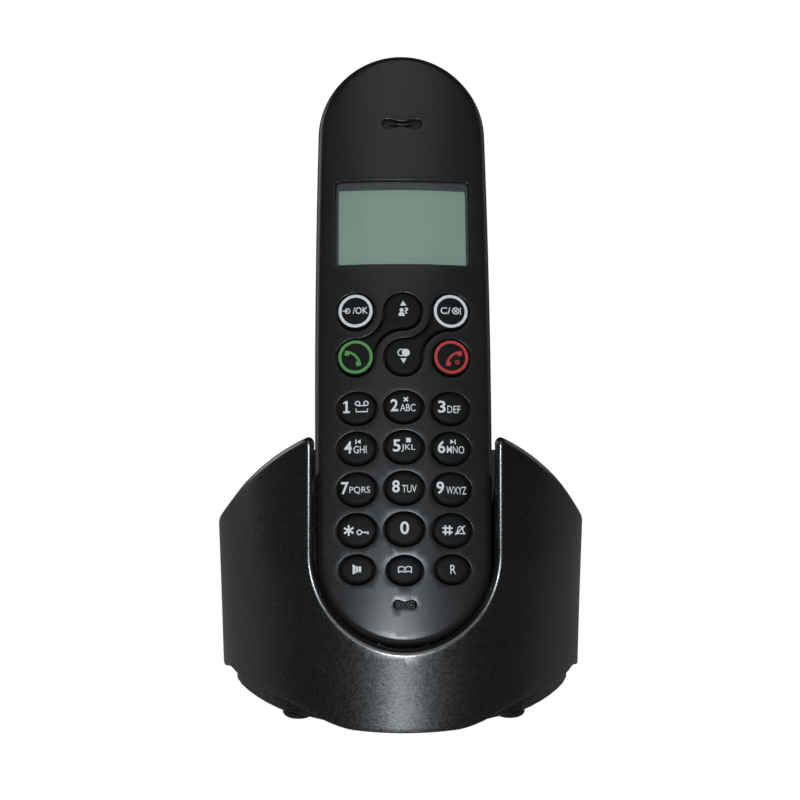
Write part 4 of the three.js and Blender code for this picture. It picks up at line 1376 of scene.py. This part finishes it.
# ------------------------------------------------------------------ base
@dataclass
class Base:
    """The charging base: shell with its U-shaped cut, cradle, cover, feet and page key."""

    half_width: float = 49.1
    flare: float = 1.7
    flare_height: float = 40.0
    front: float = 47.0
    rear: float = 41.0
    lean: float = 19.0
    wall: float = 2.4
    wall_foot: float = 1.3
    wall_curve: float = 1.4
    curve_height: float = 30.0
    skirt: float = 1.8
    skirt_arch: float = 3.4
    arch_span: tuple[float, float, float, float] = (15, 40, 68, 84)
    cut_half: float = 24.4
    cut_low: float = 21.2
    rim_round: float = 1.2
    rim_inner_round: float = 0.5
    skirt_round: float = 0.45
    tip_round: float = 1.5
    sockets: tuple[tuple[float, float, float], ...] = ((-14, 9, 10), (10, 13, 11))
    socket_gap: float = 0.3
    socket_foot: float = 8.2
    foot_height: float = 1.3
    feet: tuple[tuple[float, float], ...] = ((-27.5, -31), (27.5, -31), (-26, 22), (26, 22))
    screw_head: float = 1.7
    screws: tuple[tuple[float, float], ...] = ((0, -30), (-17, 29), (17, 29))
    rim: tuple[tuple[float, float], ...] = ((-22.6, 82.5), (-16.2, 71.6), (-7.2, 56.8), (-1.8, 48.9),
                                            (9.2, 39.3), (21, 33), (32.5, 29.5), (46, 27.5))

    def skin(self, flat: Array, inset: float) -> Array:
        """Returns points of the shell.

        Args:
            flat: Turns from the front times the half width, and heights.
            inset: How far inside the outer skin.

        Returns:
            The points, in the base's own frame.
        """
        turn, height = flat[:, 0] / self.half_width, flat[:, 1]
        across = self.reach(height) - inset
        centre = self.slope(height)
        along = np.where(np.cos(turn) > 0, self.front - inset, self.rear - inset - centre)
        return np.column_stack([across * np.sin(turn), centre - along * np.cos(turn), height])

    def reach(self, height: Array) -> Array:
        """Returns the half width at heights."""
        share = np.clip((height - self.wall_foot) / (self.flare_height - self.wall_foot), 0, 1)
        return self.half_width + self.flare * share

    def sweep(self, height: Array) -> Array:
        """Returns how far the wall's foot sweeps back beyond its plain lean, at heights."""
        rise = np.clip((height - self.wall_foot) / self.curve_height, 0, 1)
        return self.wall_curve * (1 - (1 - rise) ** 2)

    def slope(self, height: Array) -> Array:
        """Returns how far back the front wall stands at heights."""
        return math.tan(math.radians(self.lean)) * (height - self.wall_foot) + self.sweep(height)

    def rim_height(self, y: Array) -> Array:
        """Returns the rim's height at places along the base, on a smooth curve."""
        knots = np.array(self.rim)
        fine = np.linspace(knots[0, 0], knots[-1, 0], 400)
        slopes = np.gradient(knots[:, 1], knots[:, 0])
        index = np.clip(np.searchsorted(knots[:, 0], fine) - 1, 0, len(knots) - 2)
        step = knots[index + 1, 0] - knots[index, 0]
        t = (fine - knots[index, 0]) / step
        heights = ((2 * t ** 3 - 3 * t ** 2 + 1) * knots[index, 1]
                   + (t ** 3 - 2 * t ** 2 + t) * step * slopes[index]
                   + (-2 * t ** 3 + 3 * t ** 2) * knots[index + 1, 1]
                   + (t ** 3 - t ** 2) * step * slopes[index + 1])
        return np.interp(y, fine, heights)

    def rim_at(self, turns: Array) -> Array:
        """Finds the rim's flat positions at turns from the front."""
        low, high = np.full(len(turns), 20.0), np.full(len(turns), 84.0)
        for _ in range(40):
            middle = (low + high) / 2
            y = self.skin(np.column_stack([turns * self.half_width, middle]), 0)[:, 1]
            above = middle > self.rim_height(y)
            high = np.where(above, middle, high)
            low = np.where(above, low, middle)
        return np.column_stack([turns * self.half_width, (low + high) / 2])

    def cut_flat(self, x: Array, climb: Array) -> Array:
        """Turns positions on the cut, seen square to the front wall, into flat positions."""
        lean = math.radians(self.lean)
        height = np.full(len(x), 30.0)
        for _ in range(8):
            turn = np.arcsin(np.clip(x / self.reach(height), -1, 1))
            back = self.front * (1 - np.cos(turn)) + self.sweep(height)
            height = self.wall_foot + math.cos(lean) * (climb - back * math.sin(lean))
        return np.column_stack([turn * self.half_width, height])

    def arch(self, turns: Array) -> Array:
        """Returns 1 where the skirt is arched up between the front and each side, 0 elsewhere."""
        away = np.degrees(np.abs(turns))
        start, full, fall, end = self.arch_span
        return ease((away - start) / (full - start)) * ease((end - away) / (end - fall))

    def skirt_at(self, turns: Array) -> Array:
        """Returns the wall's lower edge at turns from the front."""
        return np.column_stack([turns * self.half_width, self.skirt + self.skirt_arch * self.arch(turns)])

    def boundary(self) -> Array:
        """Returns the shell's flat outline, counter-clockwise from the rear's lower left."""
        lean = math.radians(self.lean)
        bottom = self.skirt_at(np.linspace(-math.pi, math.pi, 181))
        low = (self.cut_low - self.wall_foot) / math.cos(lean)
        centre = low + self.cut_half
        turn = np.radians(np.linspace(0, 180, 61))
        bowl = self.cut_flat(self.cut_half * np.cos(turn), centre - self.cut_half * np.sin(turn))
        climb = np.linspace(centre, 90, 160)
        right = self.cut_flat(np.full(160, self.cut_half), climb)
        points = self.skin(right, 0)
        clear = points[:, 2] < self.rim_height(points[:, 1])
        right = right[clear][1:]
        tip = right[-1, 0] / self.half_width
        crest = self.rim_at(np.linspace(math.pi, tip, 130))
        corner = np.concatenate([crest, right[::-1]])
        side = self.soften(corner, len(crest) - 1)
        left = side[::-1] * np.array([-1, 1])
        return np.concatenate([bottom, side, bowl[1:-1], left])

    def soften(self, path: Array, corner: int) -> Array:
        """Rounds a path's corner with an arc.

        Args:
            path: The points of the path.
            corner: Index of the corner.

        Returns:
            The path with its corner rounded to the tip's radius.
        """
        steps = np.linalg.norm(np.diff(path, axis=0), axis=1)
        along = np.concatenate([[0], np.cumsum(steps)])
        point = path[corner]
        back = path[along < along[corner] - 3][-1] - point
        ahead = path[along > along[corner] + 3][0] - point
        back, ahead = back / np.linalg.norm(back), ahead / np.linalg.norm(ahead)
        half = math.acos(float(np.clip(back @ ahead, -1, 1))) / 2
        reach = self.tip_round / math.tan(half)
        middle = back + ahead
        centre = point + middle / np.linalg.norm(middle) * self.tip_round / math.sin(half)
        first, last = point + back * reach - centre, point + ahead * reach - centre
        start, end = math.atan2(first[1], first[0]), math.atan2(last[1], last[0])
        if end < start:
            end += 2 * math.pi
        turns = np.linspace(start, end, 15)
        bend = centre + self.tip_round * np.column_stack([np.cos(turns), np.sin(turns)])
        return np.concatenate([path[along < along[corner] - reach - 0.4], bend,
                               path[along > along[corner] + reach + 0.4]])

    def build(self, places: Places, palette: Palette) -> None:
        """Builds and dresses every base piece."""
        self.shell(places, palette)
        for finish, nodes in (
                (CRADLE_BLACK, ("cradle_deck", "cradle_well", "backrest")),
                (BASE_BLACK, ("base_cover",)),
                (BOARD_GREEN, ("base_board",)),
                (KEY_BLACK, ("page_key",)),
                (RECESS_BLACK, ("power_jack", "line_socket")),
        ):
            for node in nodes:
                repaint(node, palette.get(finish))
        for node, width in (("backrest", 0.8), ("page_key", 0.3)):
            soften_edges(node, width)
        self.underside(places, palette)

    def underside(self, places: Places, palette: Palette) -> None:
        """Sets the rubber feet and the screws of the cover."""
        recess = [(2.3, 0.35), (2.45, 0.3), (2.6, 0.02), (2.75, 0.0)]
        outside = [(3.85, 0.0), (4.08, 0.1), (4.2, 0.34), (4.2, self.foot_height)]
        foot = lathe([*recess, *outside]).finish("foot")
        feet = Repeat("rubber_feet", "base", "foot_rubber", FOOT_BLACK).build(
            foot, [(x, y, 0.0) for x, y in self.feet], places.base, palette)
        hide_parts("foot_1", "foot_2", "foot_3", "foot_4")
        screws = Repeat("cover_screws", "base", "steel", STEEL, spread=3.0).build(
            screw(5.5), [(x, y, self.screw_head) for x, y in self.screws], places.base, palette)
        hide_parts("base_screw_1", "base_screw_2", "base_screw_3")

    def shell(self, places: Places, palette: Palette) -> None:
        """Builds the shell with rounded rims on the skin's own surface."""
        flat = self.boundary()
        ahead = np.roll(flat, -1, axis=0) - np.roll(flat, 1, axis=0)
        normals = np.column_stack([ahead[:, 1], -ahead[:, 0]])
        normals /= np.linalg.norm(normals, axis=1, keepdims=True)
        seam = np.isclose(np.abs(flat[:, 0]), math.pi * self.half_width, atol=1e-6)
        normals[seam] = np.column_stack([np.zeros(seam.sum()), np.sign(flat[seam, 1] - 10)])
        edge = flat[:, 1] > 10
        outer = np.where(edge, self.rim_round, self.skirt_round)[:, None]
        inner = np.where(edge, self.rim_inner_round, self.skirt_round)[:, None]
        rounding = [(away * outer, depth * outer) for away, depth in fillet(1.0, 6)]
        rounding += [(away * inner, self.wall - depth * inner) for away, depth in reversed(fillet(1.0, 3))]
        closing = [i for i in range(len(flat)) if seam[i] and seam[(i + 1) % len(flat)]]
        shape = Sculpt()
        flats = [flat - normals * away for away, _ in rounding]
        made = [shape.ring(self.skin(moved, depth[:, 0])) for moved, (_, depth) in zip(flats, rounding)]
        for high, low in zip(made, made[1:]):
            shape.bridge(low, high, closing)
        shape.patch([(made[0], flats[0])], lambda f: self.skin(f, 0), 1.6, True)
        shape.patch([(made[-1], flats[-1])], lambda f: self.skin(f, self.wall), 2.4, False)
        thing = shape.finish("base_shield", places.base)
        tools = []
        for middle, width, height in self.sockets:
            half = width / 2 + self.socket_gap
            tools.append(block((middle - half, self.rear - 8, self.socket_foot - self.socket_gap),
                               (middle + half, self.rear + 3, self.socket_foot + self.socket_gap + height),
                               places.base))
        boolean(thing, tools, "DIFFERENCE")
        shaded(thing, 35)
        dress(thing, palette.get(BASE_BLACK), "base")
        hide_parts("base_shell")


# ------------------------------------------------------------------ stage
@dataclass
class Studio:
    """Floor, lights and camera."""

    distance: float = 0.466
    elevation: float = 17.0
    azimuth: float = -1.7
    roll: float = 0.55
    look_height: float = 0.0759
    look_side: float = -0.0009
    lens: float = 78.75
    paper: float = 1.0

    def build(self, places: Places) -> None:
        """Sets up the stage."""
        self.floor()
        self.camera(places)
        self.lights(places)

    def floor(self) -> None:
        """Lays a wide pale floor."""
        mesh = bpy.data.meshes.new("floor")
        reach = 4.0
        corners = [(-reach, -reach, 0), (reach, -reach, 0), (reach, reach, 0), (-reach, reach, 0)]
        mesh.from_pydata(corners, [], [(0, 1, 2, 3)])
        thing = link("floor", mesh)
        material = bpy.data.materials.new("pale_floor")
        material.use_nodes = True
        nodes, links = material.node_tree.nodes, material.node_tree.links
        shader = nodes["Principled BSDF"]
        shader.inputs["Base Color"].default_value = (0.45, 0.45, 0.45, 1)
        shader.inputs["Roughness"].default_value = 0.9
        shader.inputs["Specular IOR Level"].default_value = 0.1
        glow = nodes.new("ShaderNodeEmission")
        glow.inputs["Strength"].default_value = self.paper
        path = nodes.new("ShaderNodeLightPath")
        blend = nodes.new("ShaderNodeMixShader")
        links.new(path.outputs["Is Camera Ray"], blend.inputs["Fac"])
        links.new(shader.outputs["BSDF"], blend.inputs[1])
        links.new(glow.outputs["Emission"], blend.inputs[2])
        links.new(blend.outputs["Shader"], nodes["Material Output"].inputs["Surface"])
        mesh.materials.append(material)

    def camera(self, places: Places) -> None:
        """Places the camera at the usual viewing angle."""
        target = places.base.to_translation() * MM + Vector((self.look_side, 0, self.look_height))
        a, e = math.radians(self.azimuth), math.radians(self.elevation)
        back = Vector((math.sin(a) * math.cos(e), -math.cos(a) * math.cos(e), math.sin(e)))
        camera = bpy.data.cameras.new("camera")
        camera.lens = self.lens
        camera.sensor_width = 36.0
        camera.clip_start = 0.01
        thing = bpy.data.objects.new("camera", camera)
        bpy.context.scene.collection.objects.link(thing)
        turn = (-back).to_track_quat("-Z", "Y").to_matrix().to_4x4()
        thing.matrix_world = Matrix.Translation(target + back * self.distance) @ turn @ Matrix.Rotation(
            math.radians(self.roll), 4, "Z")
        bpy.context.scene.camera = thing

    def lights(self, places: Places) -> None:
        """Hangs one compact light near the camera and broad dim ones round the object."""
        middle = places.base.to_translation() * MM + Vector((0, 0, 0.06))
        rows = (
            ("key", (-0.012, -0.425, 0.190), 0.06, 1.25),
            ("overhead", (0.0, -0.45, 0.9), 0.5, 0.75),
            ("left", (-1.1, 0.45, 0.4), 0.8, 3.4),
            ("right", (1.1, 0.45, 0.4), 0.8, 1.0),
        )
        for name, offset, size, power in rows:
            data = bpy.data.lights.new(name, "AREA")
            data.shape = "DISK"
            data.size = size
            data.energy = power
            data.color = (0.86, 0.94, 1.0) if name == "key" else (1.0, 0.97, 0.94)
            thing = bpy.data.objects.new(name, data)
            bpy.context.scene.collection.objects.link(thing)
            place = middle + Vector(offset)
            turn = (middle - place).to_track_quat("-Z", "Y").to_matrix().to_4x4()
            thing.matrix_world = Matrix.Translation(place) @ turn
        bpy.context.scene.view_settings.view_transform = "Standard"
        world = bpy.data.worlds.new("studio")
        bpy.context.scene.world = world
        world.use_nodes = True
        nodes, links = world.node_tree.nodes, world.node_tree.links
        back = nodes["Background"]
        path = nodes.new("ShaderNodeLightPath")
        blend = nodes.new("ShaderNodeMix")
        blend.data_type = "FLOAT"
        blend.inputs["A"].default_value = 0.035
        blend.inputs["B"].default_value = 1.0
        links.new(path.outputs["Is Camera Ray"], blend.inputs["Factor"])
        links.new(blend.outputs["Result"], back.inputs["Strength"])
        back.inputs["Color"].default_value = (1, 1, 1, 1)


def main() -> None:
    """Builds the phone, the base and the stage."""
    logging.basicConfig(level=logging.INFO, format="%(message)s")
    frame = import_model()
    NODES.update(frame["nodes"])
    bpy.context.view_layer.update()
    handset, base = Handset(), Base()
    places = Places.read(frame, handset, base)
    palette = Palette()
    handset.build(places, palette)
    base.build(places, palette)
    Studio().build(places)


if __name__ == "__main__":
    main()
